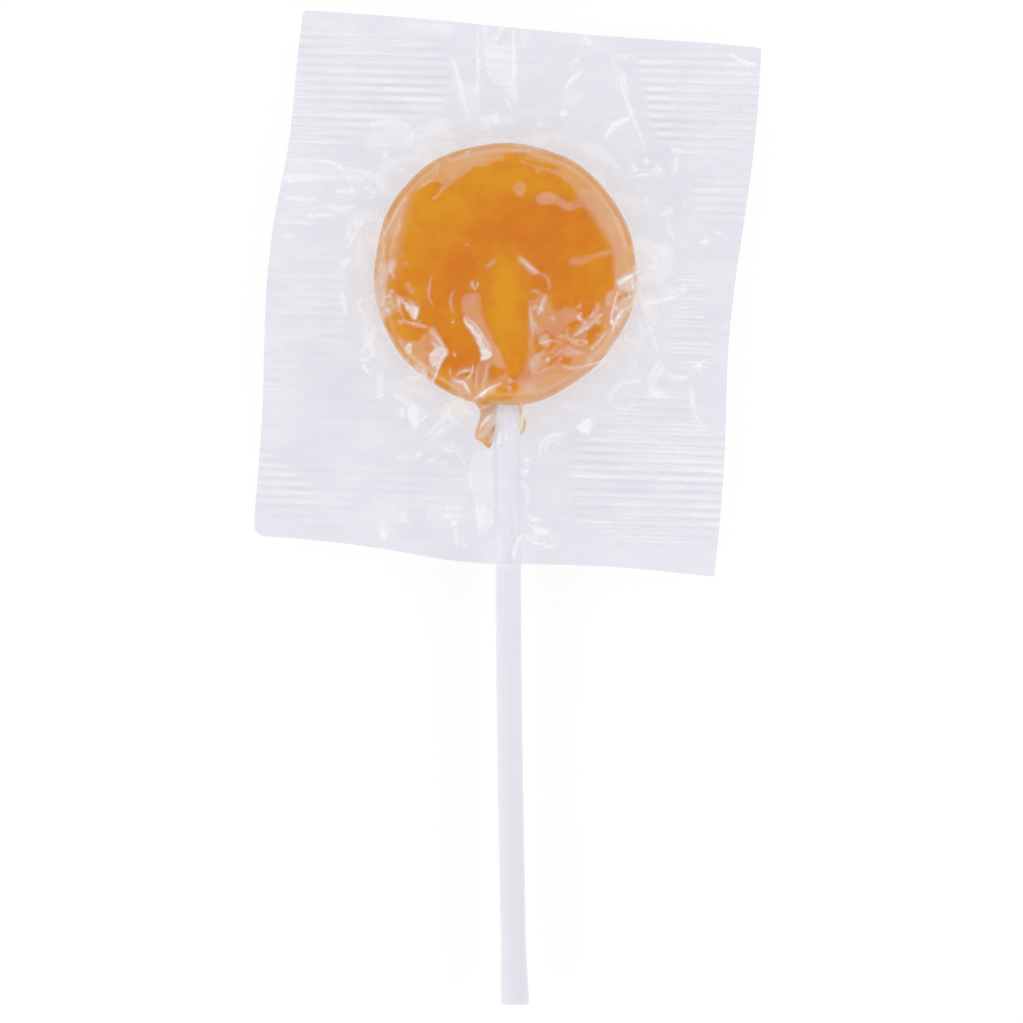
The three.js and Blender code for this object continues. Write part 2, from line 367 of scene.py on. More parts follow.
def apply_modifiers(piece):
    """Replaces the piece's mesh with the one that its modifiers make."""
    shaped = piece.evaluated_get(bpy.context.evaluated_depsgraph_get())
    mesh = bpy.data.meshes.new_from_object(shaped)
    piece.modifiers.clear()
    old = piece.data
    name = old.name
    material = old.materials[0]
    piece.data = mesh
    bpy.data.meshes.remove(old)
    mesh.name = name
    mesh.materials.clear()
    mesh.materials.append(material)


def ring_of(x, y, z):
    """Points round one ring, from numbers or from arrays of one length."""
    return np.column_stack(np.broadcast_arrays(x, y, z))


def ring_faces(rings, around):
    """Faces between rings of points, closed at both ends round the two points that follow the rings."""
    faces = []
    for ring in range(rings - 1):
        for i in range(around):
            a, b = ring * around + i, ring * around + (i + 1) % around
            faces.append((a, b, b + around, a + around))
    last = (rings - 1) * around
    tip = rings * around
    for i in range(around):
        j = (i + 1) % around
        faces.append((j, i, tip))
        faces.append((last + i, last + j, tip + 1))
    return faces


class Nodes:
    """A short way to write a material's nodes."""

    def __init__(self, tree):
        self.tree = tree
        tree.nodes.clear()

    def add(self, kind, inputs=None, **settings):
        node = self.tree.nodes.new(kind)
        for key, value in settings.items():
            setattr(node, key, value)
        for key, value in (inputs or {}).items():
            if isinstance(value, bpy.types.NodeSocket):
                self.tree.links.new(value, node.inputs[key])
            else:
                node.inputs[key].default_value = value
        return node

    def math(self, operation, a, b=0.0, clamp=False):
        return self.add("ShaderNodeMath", {0: a, 1: b}, operation=operation, use_clamp=clamp).outputs[0]

    def total(self, first, *others, clamp=False):
        """The sum of several values, clamped to 0 and 1 at the end where that is asked."""
        for number, other in enumerate(others, 1):
            first = self.math("ADD", first, other, clamp=clamp and number == len(others))
        return first

    def times(self, a, b):
        """Two colours or places multiplied part by part, or one of them by a number."""
        return self.add("ShaderNodeVectorMath", {0: a, 1: b}, operation="MULTIPLY").outputs[0]

    def mix(self, share, a, b):
        inputs = {"Factor": share, "A": a, "B": b}
        return self.add("ShaderNodeMix", inputs, data_type="FLOAT").outputs["Result"]

    def mix_shaders(self, share, a, b):
        return self.add("ShaderNodeMixShader", {0: share, 1: a, 2: b}).outputs[0]

    def shader(self, kind, **inputs):
        return self.add(kind, {name.replace("_", " "): value for name, value in inputs.items()}).outputs[0]

    def value(self, name):
        return self.add("ShaderNodeAttribute", attribute_name=name).outputs["Fac"]

    def place(self):
        return self.add("ShaderNodeTexCoord").outputs["Object"]

    def turned(self, turn):
        """The place, in axes turned about the object's own up."""
        return self.add("ShaderNodeMapping", {"Vector": self.place(), "Rotation": (0, 0, -turn)}).outputs[0]

    def noise(self, size, detail=3.0, squash=(1, 1, 1), turn=0.0):
        """Noise from about 0 to 1 with features of this size in millimetres, stretched by squash."""
        stretched = self.times(self.turned(turn), squash)
        inputs = {"Vector": stretched, "Scale": 1 / (size * MM), "Detail": detail}
        return self.add("ShaderNodeTexNoise", inputs).outputs["Fac"]

    def spread(self, value, low, high, to_low=0.0, to_high=1.0):
        inputs = {"Value": value, "From Min": low, "From Max": high, "To Min": to_low, "To Max": to_high}
        return self.add("ShaderNodeMapRange", inputs).outputs["Result"]

    def ramp(self, value, stops):
        node = self.add("ShaderNodeValToRGB", {"Fac": value})
        elements = node.color_ramp.elements
        while len(elements) < len(stops):
            elements.new(0.5)
        for element, (place, colour) in zip(elements, stops):
            element.position = place
            element.color = (*colour, 1)
        return node.outputs["Color"]

    def bump(self, height, strength, distance):
        inputs = {"Height": height, "Strength": strength, "Distance": distance * MM}
        return self.add("ShaderNodeBump", inputs).outputs[0]

    def surface(self, shader):
        self.add("ShaderNodeOutputMaterial", {"Surface": shader})


def linear(red, green, blue):
    """A colour as painters write it, from 0 to 255, in Blender's linear numbers."""
    parts = [c / 255 for c in (red, green, blue)]
    return tuple(c / 12.92 if c <= 0.04045 else ((c + 0.055) / 1.055) ** 2.4 for c in parts)


def new_material(name):
    material = bpy.data.materials.get(name) or bpy.data.materials.new(name)
    material.use_nodes = True
    return material, Nodes(material.node_tree)


# ---- The sweet ----
# Warm and deep places in the sugar: x, y, half width, half height, and how yellow it is, or red below 0.
SUGAR_BLOBS = (
    (-6.5, 8.0, 6.0, 4.0, 0.75),
    (-1.5, 12.0, 6.5, 2.2, 0.5),
    (-11.0, 2.5, 2.6, 6.0, 0.45),
    (6.0, 10.8, 4.0, 1.8, 0.4),
    (11.5, 0.5, 2.6, 4.0, 0.35),
    (1.0, 5.8, 7.5, 3.2, -0.6),
    (-4.5, -0.5, 4.5, 4.0, -0.55),
    (7.5, 0.5, 4.0, 5.5, -0.4),
    (-7.0, -12.5, 4.5, 2.6, -0.35),
    (-12.5, -8.0, 3.0, 2.0, 0.25),
    (-3.8, -10.0, 2.2, 3.0, -0.35),
    (5.5, -13.5, 4.5, 1.5, -0.3),
    (-0.1, -2.4, 2.0, 3.6, 0.9),
    (0.1, -6.0, 2.9, 5.6, 0.7),
    (0.3, 1.0, 2.6, 1.8, 0.4),
    (-2.4, -16.8, 1.6, 2.4, 0.6),
)
# The sugar squeezed out beside the stick, and the collar round it: outline, half the thickness.
DRIPS = (
    (((0.2, -13.2), (-2.6, -13.6), (-3.8, -15.7), (-3.2, -16.8), (-3.0, -17.6), (-3.35, -18.9),
      (-3.7, -20.0), (-3.6, -20.7), (-2.9, -21.1), (-2.0, -21.9), (-1.5, -21.2), (-1.0, -19.0),
      (-0.4, -16)), 0.8),
    (((0.8, -13.6), (2.9, -14.2), (2.9, -15.6), (2.2, -16.8), (2.75, -18.4), (2.5, -19.7), (1.9, -20.3),
      (1.5, -18.9), (1.3, -16.5)), 0.65),
    (((-3.2, -14.5), (3.0, -14.5), (2.7, -16.1), (1.6, -16.4), (-1.2, -16.6), (-3.0, -16.4)), 1.5),
)


def drip_mesh(outline, thick):
    """A cushion-shaped lump inside an outline, as stacked smaller copies of it."""
    line = smooth_line(outline, closed=True, per_span=5)
    centre = line.mean(0)
    rings = []
    for ring in range(-DRIP_RINGS + 1, DRIP_RINGS):
        lift = math.sin(math.pi / 2 * ring / DRIP_RINGS)
        size = math.cos(math.pi / 2 * ring / DRIP_RINGS) ** 0.6
        flat = centre + (line - centre) * size
        rings.append(ring_of(flat[:, 0], flat[:, 1], MID + thick * lift))
    tips = [[*centre, MID - thick], [*centre, MID + thick]]
    return np.vstack([*rings, tips]), ring_faces(len(rings), len(line))


def disc_mesh(fuller):
    """The disc with its rounded rim, as rings of points on both faces."""
    turn = np.arange(DISC_SECTORS) * 2 * math.pi / DISC_SECTORS
    reach = sweet_reach(turn)
    inner = reach - RIM_ROUNDING
    rings = []
    for side in (1, -1):
        for share in np.linspace(0.03, 1, DISC_RINGS):
            x, y = inner * share * np.cos(turn), inner * share * np.sin(turn)
            rings.append(ring_of(x, y, MID + side * (sweet_half(x, y) + fuller)))
        rim_half = rings[-1][:, 2] - MID
        for step in range(1, RIM_RINGS + 1):
            out = math.sin(math.pi / 2 * step / (RIM_RINGS + 1))
            r = inner + RIM_ROUNDING * out
            rings.append(ring_of(r * np.cos(turn), r * np.sin(turn), MID + rim_half * math.sqrt(1 - out**2)))
    rings.append(ring_of(reach * np.cos(turn), reach * np.sin(turn), MID))
    middle = sweet_half(np.zeros(1), np.zeros(1))[0] + fuller
    points = np.vstack([*rings, [[0, 0, MID + middle], [0, 0, MID - middle]]])
    return points, disc_faces(len(rings))


def disc_faces(rings):
    """Faces from a middle point on each side, over that side's rings, to the rim, which is the last ring."""
    faces = []
    rim = rings - 1
    per_side = rim // 2
    for side in (0, 1):
        chain = [*range(side * per_side, (side + 1) * per_side), rim]
        middle = rings * DISC_SECTORS + side
        order = -1 if side else 1
        for i in range(DISC_SECTORS):
            j = (i + 1) % DISC_SECTORS
            first = chain[0] * DISC_SECTORS
            faces.append((middle, first + i, first + j)[::order])
            for inner, outer in zip(chain, chain[1:]):
                near, far = inner * DISC_SECTORS, outer * DISC_SECTORS
                faces.append((near + i, far + i, far + j, near + j)[::order])
    return faces


def poured_relief(x, y):
    """The faint hollows of a poured sweet's face."""
    return 0.05 * soft_noise(x, y, 4.5, 3) + 0.025 * soft_noise(x, y, 1.7, 4)


def settle_on_sweet(place, fuller):
    """Puts the fused mesh's faces back on the disc's exact form, with its relief."""
    x, y = place[:, 0], place[:, 1]
    above = place[:, 2] - MID
    exact = sweet_half(x, y) + fuller + poured_relief(x, y)
    keep = 1 - smoothstep(share_of_reach(x, y), 0.86, 0.93)
    keep *= smoothstep(y, -15.0, -13.0)
    place[:, 2] += keep * (np.sign(above) * exact - above) * (np.abs(above) > FACE_ABOVE)
    return place


def colour_sugar(mesh, x, y):
    """Tells the material where the sugar is yellower or redder, and where its rim gets painted shade."""
    shade = np.zeros(len(x))
    for blob_x, blob_y, half_width, half_height, amount in SUGAR_BLOBS:
        shade += amount * bell(x, blob_x, half_width) * bell(y, blob_y, half_height)
    share = share_of_reach(x, y)
    shade += 0.75 * smoothstep(share, 0.78, 0.9) + 0.6 * smoothstep(share, 1.0, 1.05)
    # Painted shade: the sugar is darkened towards its rim.
    edge = 0.6 * smoothstep(share, 0.88, 0.97) + 0.4 * smoothstep(share, 0.975, 1.0)
    set_values(mesh, "sugar", shade)
    set_values(mesh, "edge", edge * (1 - smoothstep(share, 1.0, 1.03)))


def sugar_material(settings):
    """Glossy translucent boiled sugar, yellower and redder in places, with fine bubbles and painted shade
    towards its rim.
    """
    material, nodes = new_material("boiled_sugar")
    cloud = nodes.spread(nodes.noise(2.4, 5.0), 0.3, 0.7, -0.42, 0.42)
    mottle = nodes.spread(nodes.noise(0.8), 0.3, 0.7, -0.3, 0.3)
    bubbles = nodes.spread(nodes.noise(0.3, 2.0), 0.6, 0.78, 0, 0.6)
    depth = nodes.total(nodes.value("sugar"), cloud, mottle, bubbles)
    colour = nodes.ramp(nodes.spread(depth, -1, 1),
                        ((0.0, settings.deep), (0.42, settings.plain), (1.0, settings.yellow)))
    # Painted shade, darkest at the rim.
    painted_rim_shade = nodes.spread(nodes.value("edge"), 0, 1, 1.0, 0.86)
    relief = nodes.total(nodes.noise(1.4), nodes.math("MULTIPLY", nodes.noise(0.3), 0.2))
    nodes.surface(nodes.shader(
        "ShaderNodeBsdfPrincipled",
        Base_Color=nodes.times(colour, painted_rim_shade),
        Roughness=0.22,
        Specular_IOR_Level=0.22,
        Subsurface_Weight=0.25,
        Subsurface_Radius=(1.0, 0.45, 0.15),
        Subsurface_Scale=1.2 * MM,
        Normal=nodes.bump(relief, 0.12, 0.15),
    ))
    return material


class SweetSettings(bpy.types.PropertyGroup):
    """Sizes and colours of the sweet"""

    fuller: bpy.props.FloatProperty(
        name="Fuller", description="How much the sweet swells past its solid on each face, up to the film",
        default=0.3 * MM, unit="LENGTH", precision=5)
    grain: bpy.props.FloatProperty(
        name="Grain", description="Size of the cells that fuse the sweet with its drips",
        default=0.2 * MM, unit="LENGTH", precision=5)
    deep: bpy.props.FloatVectorProperty(
        name="Deep", description="The sugar where it looks reddest", subtype="COLOR",
        default=linear(212, 115, 11), min=0, max=1)
    plain: bpy.props.FloatVectorProperty(
        name="Plain", description="The sugar over most of the sweet", subtype="COLOR",
        default=linear(217, 129, 13), min=0, max=1)
    yellow: bpy.props.FloatVectorProperty(
        name="Yellow", description="The sugar where it looks yellowest", subtype="COLOR",
        default=linear(222, 151, 15), min=0, max=1)


class LOLLIPOP_OT_sweet(bpy.types.Operator):
    """Make the disc of boiled sugar with the hump and drips round its stick"""

    bl_idname = "lollipop.sweet"
    bl_label = "Sweet"

    def execute(self, context):
        settings = context.scene.lollipop_sweet
        fuller = settings.fuller / MM
        points, faces = disc_mesh(fuller)
        for outline, thick in DRIPS:
            more_points, more_faces = drip_mesh(outline, thick)
            faces += [tuple(len(points) + i for i in face) for face in more_faces]
            points = np.vstack([points, more_points])
        piece = add_mesh("boiled_sweet", points, faces, sugar_material(settings), "sweet")
        fuse = piece.modifiers.new("fuse", "REMESH")
        fuse.mode = "VOXEL"
        fuse.voxel_size = settings.grain
        relax = piece.modifiers.new("relax", "SMOOTH")
        relax.factor = 0.5
        relax.iterations = 3
        apply_modifiers(piece)
        mesh = piece.data
        place = settle_on_sweet(mesh_points(mesh), fuller)
        mesh.vertices.foreach_set("co", (place * MM).ravel())
        mesh.update()
        shade_smooth(mesh)
        colour_sugar(mesh, place[:, 0], place[:, 1])
        return {"FINISHED"}


# ---- The stick ----
def stick_mesh(top):
    """The bowed stick from its hidden top to its rounded, flared free end."""
    turn = np.arange(STICK_SIDES) * 2 * math.pi / STICK_SIDES
    stations = [(y, 1.0) for y in np.linspace(top, STICK_BOTTOM + STICK_ROUNDING, STICK_STATIONS)]
    stations += [(STICK_BOTTOM + above, share) for above, share in STICK_END]
    rings = []
    for y, share in stations:
        flare = FLARE * smoothstep(STICK_BOTTOM + FLARE_LENGTH - y, 0, FLARE_LENGTH)
        radius = STICK_RADIUS * share
        x = stick_centre(y) + radius * (1 + flare) * np.cos(turn)
        rings.append(ring_of(x, y, MID + radius * np.sin(turn)))
    end = stations[-1][0]
    tips = [[stick_centre(top), top, MID], [stick_centre(end), end + 0.05, MID]]
    return np.vstack([*rings, tips]), ring_faces(len(rings), STICK_SIDES)


def stick_material(settings):
    """Satin white plastic, painted lighter on its left side and with painted shade on its right, and painted
    darker below the wrapper than inside it.
    """
    material, nodes = new_material("white_stick")
    across, along, _ = nodes.add("ShaderNodeSeparateXYZ", {0: nodes.place()}).outputs
    # Painted light and shade: the colour runs from lit on the stick's left side to shaded on its right.
    side = nodes.spread(across, -1.6 * MM, 2.4 * MM)
    # Painted light: inside the wrapper the stick is painted lighter than below it, to make up for the shade
    # that the film casts on it.
    bare_painted_darker = nodes.spread(along, (WRAP_EDGE + 1) * MM, (WRAP_EDGE - 1.5) * MM, 1.0, settings.bare_painted_darker)
    streak = nodes.spread(nodes.noise(0.5, 3.0, (1, 0.04, 1)), 0.3, 0.7, -0.1, 0.1)
    colour = nodes.ramp(nodes.total(side, streak, clamp=True),
                        ((0.0, settings.bright), (0.6, settings.plain), (1.0, settings.shaded)))
    nodes.surface(nodes.shader(
        "ShaderNodeBsdfPrincipled",
        Base_Color=nodes.times(colour, bare_painted_darker),
        Roughness=0.42,
        Subsurface_Weight=0.3,
        Subsurface_Radius=(1.0, 0.95, 0.9),
        Subsurface_Scale=0.8 * MM,
        Normal=nodes.bump(nodes.noise(0.25, 2.0, (1, 0.06, 1)), 0.08, 0.05),
    ))
    return material


class StickSettings(bpy.types.PropertyGroup):
    """Sizes and colours of the stick"""

    # Painted light: how much darker the bare stick is painted than its wrapped part.
    bare_painted_darker: bpy.props.FloatProperty(
        name="Bare", description="How bright the stick is below the wrapper, next to inside it", default=0.9)
    top: bpy.props.FloatProperty(
        name="Top", description="How far up the sweet the stick reaches",
        default=STICK_TOP * MM, unit="LENGTH")
    bright: bpy.props.FloatVectorProperty(
        name="Bright", description="Its lit side", subtype="COLOR",
        default=linear(234, 235, 244), min=0, max=1)
    plain: bpy.props.FloatVectorProperty(
        name="Plain", description="Its middle", subtype="COLOR",
        default=linear(230, 230, 238), min=0, max=1)
    shaded: bpy.props.FloatVectorProperty(
        name="Shaded", description="Its other side", subtype="COLOR",
        default=linear(225, 225, 234), min=0, max=1)


class LOLLIPOP_OT_stick(bpy.types.Operator):
    """Make the slightly bowed white stick with its flared cut end"""

    bl_idname = "lollipop.stick"
    bl_label = "Stick"

    def execute(self, context):
        settings = context.scene.lollipop_stick
        points, faces = stick_mesh(settings.top / MM)
        add_mesh("lollipop_stick", points, faces, stick_material(settings), "stick")
        return {"FINISHED"}


# ---- The film ----
# Where the film clings to the sweet, so that the sugar shows deep and clear through it.
CLINGING = (
    # the main area
    ((1.7, 15.0), (0.4, 14.8), (-0.4, 14.1), (-1.5, 13.8), (-2.6, 13.2), (-3.8, 13.2), (-4.7, 12.55),
     (-5.8, 11.8), (-6.6, 11.1), (-7.3, 10.6), (-8.0, 11.4), (-9.4, 11.3), (-11.2, 10.6), (-12.4, 9.3),
     (-13.1, 7.0), (-13.7, 5.2), (-14.2, 3.6), (-14.5, 1.8), (-14.0, 0.4), (-14.5, -0.4), (-14.3, -2.4),
     (-13.5, -2.6), (-13.1, -4.6), (-13.5, -4.9), (-14.3, -5.4), (-14.8, -6.0), (-14.4, -7.2),
     (-13.4, -8.4), (-12.4, -8.4), (-11.4, -8.8), (-10.6, -8.8), (-9.4, -7.3), (-8.7, -7.0), (-7.9, -8.6),
     (-7.0, -9.8), (-7.6, -11.0), (-8.3, -12.4), (-8.8, -14.0), (-7.3, -14.9), (-6.4, -14.9), (-6.9, -13.2),
     (-4.0, -13.0), (-3.9, -14.8), (-3.4, -14.6), (-3.1, -12.2), (-3.1, -9.6), (-4.2, -7.6), (-5.2, -5.4),
     (-5.3, -3.2), (-4.6, -2.7), (-3.2, -2.6), (-2.9, -5.0), (-1.9, -7.6), (-0.9, -9.4), (0.2, -11.7),
     (0.4, -13.0), (1.6, -13.2), (2.8, -11.4), (3.0, -8.0), (3.0, -4.8), (4.0, -3.0), (5.4, -3.0),
     (6.0, -4.6), (7.4, -4.4), (8.8, -4.4), (8.9, -5.2), (9.8, -5.8), (10.9, -5.2), (11.1, -4.3),
     (12.4, -4.2), (12.5, -3.2), (12.9, -2.3), (13.7, -1.4), (14.1, 0.2), (14.0, 1.6), (13.7, 3.2),
     (13.1, 4.8), (11.9, 5.9), (11.3, 7.0), (10.3, 7.9), (9.0, 8.1), (8.2, 7.7), (6.6, 8.4), (4.3, 8.8),
     (4.1, 9.6), (5.6, 10.0), (7.0, 9.3), (8.2, 8.8), (9.0, 9.3), (9.1, 10.1), (7.8, 11.3), (6.2, 12.3),
     (4.9, 12.8), (4.1, 12.5), (3.6, 13.3), (1.8, 13.8), (2.8, 14.6)),
    # the patches below the stick's right side
    ((12.3, -5.9), (12.3, -6.8), (11.6, -8.0), (10.4, -9.1), (9.2, -9.3), (7.5, -8.7), (8.5, -8.4),
     (9.9, -8.2), (10.2, -7.4), (11.3, -6.4)),
    ((9.6, -5.9), (8.2, -6.2), (7.2, -7.2), (6.9, -8.0), (8.3, -7.7), (9.0, -6.9)),
    ((7.4, -10.3), (8.6, -10.6), (8.0, -11.3), (7.1, -11.2)),
    ((3.8, -7.4), (5.2, -7.1), (6.4, -8.1), (6.4, -9.0), (5.2, -9.9), (3.8, -9.9)),
    ((5.2, -10.6), (6.6, -10.0), (6.4, -11.0), (5.4, -11.6)),
    ((3.4, -13.9), (5.2, -14.0), (5.3, -15.0), (3.6, -15.2)),
    ((14.0, -2.3), (14.8, -2.4), (15.1, -3.2), (14.6, -4.2), (14.0, -5.6), (13.8, -6.1), (13.7, -5.2),
     (14.2, -4.0)),
    # the sugar above the neck
    ((-1.9, -11.7), (-0.9, -11.6), (0.2, -12.2), (-1.0, -13.2), (-2.0, -13.0)),
    ((-3.2, -15.6), (-1.9, -14.6), (-0.6, -13.9), (0.9, -13.8), (1.9, -14.2), (1.6, -15.2), (0.2, -15.8),
     (-1.3, -15.9), (-2.6, -16.5)),
    ((-2.9, -17.0), (-2.1, -16.7), (-1.5, -17.6), (-2.4, -19.0), (-3.2, -19.7), (-3.3, -19.0),
     (-2.9, -17.9)),
    # streaks of deep colour inside the rim
    ((1.8, 14.2), (4.0, 14.0), (6.4, 13.4), (6.9, 13.0), (5.0, 13.0), (3.2, 13.6)),
    ((-4.0, 15.7), (-5.6, 14.6), (-6.0, 15.0)),
    ((-12.3, 9.9), (-11.6, 10.4), (-11.2, 10.3), (-11.6, 9.5)),
    ((-16.2, 1.4), (-16.0, 1.5), (-16.0, -1.5), (-16.3, -1.4)),
    ((-12.9, 9.4), (-12.7, 9.2), (-14.2, 6.6), (-15.2, 4.4), (-15.6, 4.2), (-14.8, 6.8)),
)
# How veiled the sweet looks where the film stands off, partly haze and partly painted reflection: outline,
# share of white, soft edge.
HAZE_AND_PAINTED_LIGHT = (
    # right of the middle, top right, top left
    (((9.0, 10.2), (12.0, 10.2), (14.6, 6.4), (15.8, 2.0), (15.6, -0.6), (13.9, -0.4), (13.5, 2.8),
      (11.7, 6.2)), 0.27, 0.5),
    (((-1.8, 15.6), (0.6, 15.9), (4.2, 15.3), (5.6, 14.9), (3.4, 15.2), (0.6, 15.1), (-1.4, 14.6)), 0.26,
     0.3),
    (((-8.0, 13.9), (-6.0, 14.9), (-2.8, 15.9), (-1.0, 15.9), (-2.2, 14.0), (-4.6, 13.2), (-7.2, 11.5)),
     0.24, 0.3),
    (((-10.9, 10.2), (-9.3, 11.5), (-8.3, 11.6), (-8.4, 13.4), (-9.2, 12.8), (-11.6, 10.4)), 0.16, 0.3),
    (((-8.9, 9.3), (-8.2, 9.9), (-7.8, 10.9), (-6.9, 11.4), (-7.5, 10.4), (-8.0, 9.8), (-8.4, 9.1)), 0.24,
     0.12),
    (((1.2, 10.9), (1.9, 11.3), (2.5, 10.8), (2.3, 9.9), (1.8, 9.5), (1.0, 10.3)), 0.17, 0.2),
    (((4.1, 9.4), (4.8, 10.0), (6.0, 9.8), (7.4, 8.9), (8.6, 8.5), (8.8, 7.9), (7.8, 7.8), (6.6, 8.5),
      (4.3, 8.7)), 0.2, 0.18),
    # the left rim
    (((-11.6, 10.2), (-12.0, 7.4), (-12.7, 4.6), (-13.2, 1.6), (-13.8, -0.5), (-15.6, -1.0), (-15.2, 4.0),
      (-13.8, 8.0), (-12.2, 10.8)), 0.16, 0.8),
    (((-12.7, 9.3), (-12.0, 9.3), (-12.6, 7.2), (-13.1, 5.2), (-13.9, 4.2), (-15.2, 3.6), (-15.0, 5.0),
      (-13.9, 7.2)), 0.3, 0.2),
    (((-15.4, 3.9), (-14.9, 3.8), (-14.7, 1.2), (-14.4, 0.3), (-14.6, -1.6), (-14.9, -4.4), (-15.3, -5.8),
      (-15.9, -4.0), (-15.9, 0.0), (-15.7, 2.4)), 0.42, 0.22),
    (((-14.2, 6.6), (-14.6, 4.4), (-14.8, 1.0), (-15.9, 1.0), (-15.7, 3.4), (-15.0, 6.2)), 0.36, 0.3),
    (((-15.0, -0.4), (-14.7, -4.4), (-15.1, -6.0), (-16.0, -4.2), (-16.3, -0.8)), 0.5, 0.25),
    (((-14.6, 1.0), (-14.2, 1.8), (-13.5, 1.7), (-13.7, 0.6), (-14.3, 0.0)), 0.42, 0.15),
    (((-12.7, 1.2), (-12.1, 1.6), (-12.3, 0.9)), 0.2, 0.15),
    (((-12.3, -1.4), (-11.8, -1.2), (-11.4, -2.3), (-11.9, -2.6)), 0.2, 0.2),
    # lower left
    (((-12.9, -3.3), (-12.3, -3.7), (-10.9, -4.1), (-10.7, -4.9), (-10.9, -5.6), (-11.4, -5.8),
      (-11.9, -5.1), (-12.4, -4.3)), 0.8, 0.14),
    (((-13.1, -3.0), (-11.9, -3.2), (-10.8, -3.8), (-11.6, -4.0), (-12.4, -3.8)), 0.2, 0.25),
    (((-14.5, -3.4), (-13.8, -3.5), (-13.5, -4.3), (-14.1, -4.8), (-14.7, -5.7), (-15.1, -5.2),
      (-14.7, -4.4)), 0.36, 0.14),
    (((-12.3, -8.9), (-11.8, -8.7), (-11.5, -9.4), (-11.7, -10.2), (-12.2, -9.9), (-12.5, -9.3)), 0.72,
     0.14),
    (((-9.3, -10.0), (-8.6, -9.2), (-7.6, -9.2), (-7.0, -9.8), (-7.9, -10.9), (-8.9, -11.7), (-9.4, -10.8)),
     0.8, 0.14),
    (((-9.5, -7.2), (-8.6, -7.0), (-7.6, -9.0), (-8.4, -9.2)), 0.34, 0.16),
    (((-11.2, -11.2), (-10.2, -11.0), (-9.5, -12.4), (-9.6, -13.8), (-10.4, -12.9), (-11.4, -11.8)), 0.38,
     0.2),
    (((-10.6, -12.0), (-9.9, -12.1), (-9.6, -13.0), (-9.7, -13.7), (-10.2, -13.0)), 0.75, 0.12),
    (((-13.0, -9.0), (-12.4, -8.5), (-11.0, -8.6), (-9.6, -8.0), (-9.6, -11.6), (-8.8, -13.6),
      (-10.0, -13.8), (-12.4, -11.2), (-13.6, -10.0)), 0.18, 0.25),
    (((-6.6, -13.3), (-5.6, -13.6), (-4.9, -13.9), (-4.3, -15.2), (-5.6, -15.2), (-6.6, -14.8)), 0.24,
     0.14),
    # beside the swelling over the stick
    (((-5.3, -3.2), (-4.5, -3.0), (-3.7, -2.4), (-3.3, -3.4), (-2.8, -5.2), (-2.0, -7.2), (-1.1, -9.0),
      (0.2, -11.5), (-0.6, -11.9), (-1.6, -10.8), (-2.4, -8.6), (-3.6, -6.7), (-4.9, -5.2)), 0.2, 0.14),
    (((-5.0, -5.4), (-4.5, -6.1), (-3.7, -6.8), (-2.9, -8.0), (-2.1, -9.4), (-1.6, -10.3), (-2.2, -10.9),
      (-3.0, -10.9), (-3.0, -9.8), (-3.5, -8.3), (-4.2, -7.3), (-4.8, -6.7)), 0.88, 0.13),
    (((-2.4, 1.0), (-1.6, 1.6), (-1.0, 1.7), (-1.3, 1.1), (-2.1, 0.7)), 0.2, 0.2),
    (((1.9, 2.0), (2.9, 1.5), (3.8, 0.6), (4.5, -0.1), (3.7, -0.2), (2.7, 0.5)), 0.26, 0.2),
    (((4.4, -2.8), (5.1, -2.6), (5.2, -3.6), (4.2, -5.6), (3.7, -5.0), (4.2, -3.8)), 0.26, 0.2),
    (((8.2, 1.6), (9.8, 2.0), (11.4, 2.4), (13.3, 3.0), (13.2, 2.2), (11.4, 1.8), (9.8, 1.1), (8.4, 0.8)),
     0.15, 0.25),
    # lower right
    (((13.9, -0.8), (15.0, -0.3), (16.1, -0.3), (16.6, -1.2), (16.2, -2.1), (15.2, -2.4), (14.2, -2.0)),
     0.6, 0.3),
    (((4.9, -13.4), (8.2, -11.7), (11.0, -9.2), (13.0, -6.0), (13.8, -3.7), (15.6, -4.2), (14.7, -6.8),
      (12.4, -10.4), (9.3, -13.3), (5.5, -15.2)), 0.24, 0.35),
    (((14.2, -3.4), (13.6, -6.2), (14.3, -7.2), (15.4, -4.8), (15.9, -3.6)), 0.45, 0.25),
    (((12.6, -2.8), (13.3, -2.2), (13.8, -2.2), (13.6, -3.2), (13.5, -4.2), (12.6, -4.2)), 0.34, 0.14),
    (((15.6, -1.9), (16.3, -2.4), (16.2, -4.0), (15.7, -4.0), (15.3, -3.2)), 0.42, 0.15),
    (((12.3, -4.9), (12.0, -5.5), (10.6, -6.5), (9.4, -7.7), (8.5, -8.0), (9.2, -7.1), (10.4, -6.2),
      (11.5, -5.3)), 0.42, 0.16),
    (((13.4, -6.2), (14.2, -5.8), (14.9, -4.8), (15.0, -6.6), (14.0, -8.4), (12.6, -10.2), (10.6, -11.4),
      (10.0, -10.4), (11.6, -9.2), (13.0, -7.6)), 0.32, 0.2),
    (((7.2, -9.6), (8.4, -9.4), (9.0, -9.7), (8.6, -10.3), (7.6, -10.4)), 0.34, 0.18),
    (((3.2, -10.6), (4.6, -10.2), (4.2, -12.2), (3.2, -12.8)), 0.36, 0.25),
    (((2.0, -13.2), (7.0, -12.4), (11.0, -12.2), (9.0, -13.6), (5.0, -15.6), (3.0, -15.8)), 0.24, 0.3),
)
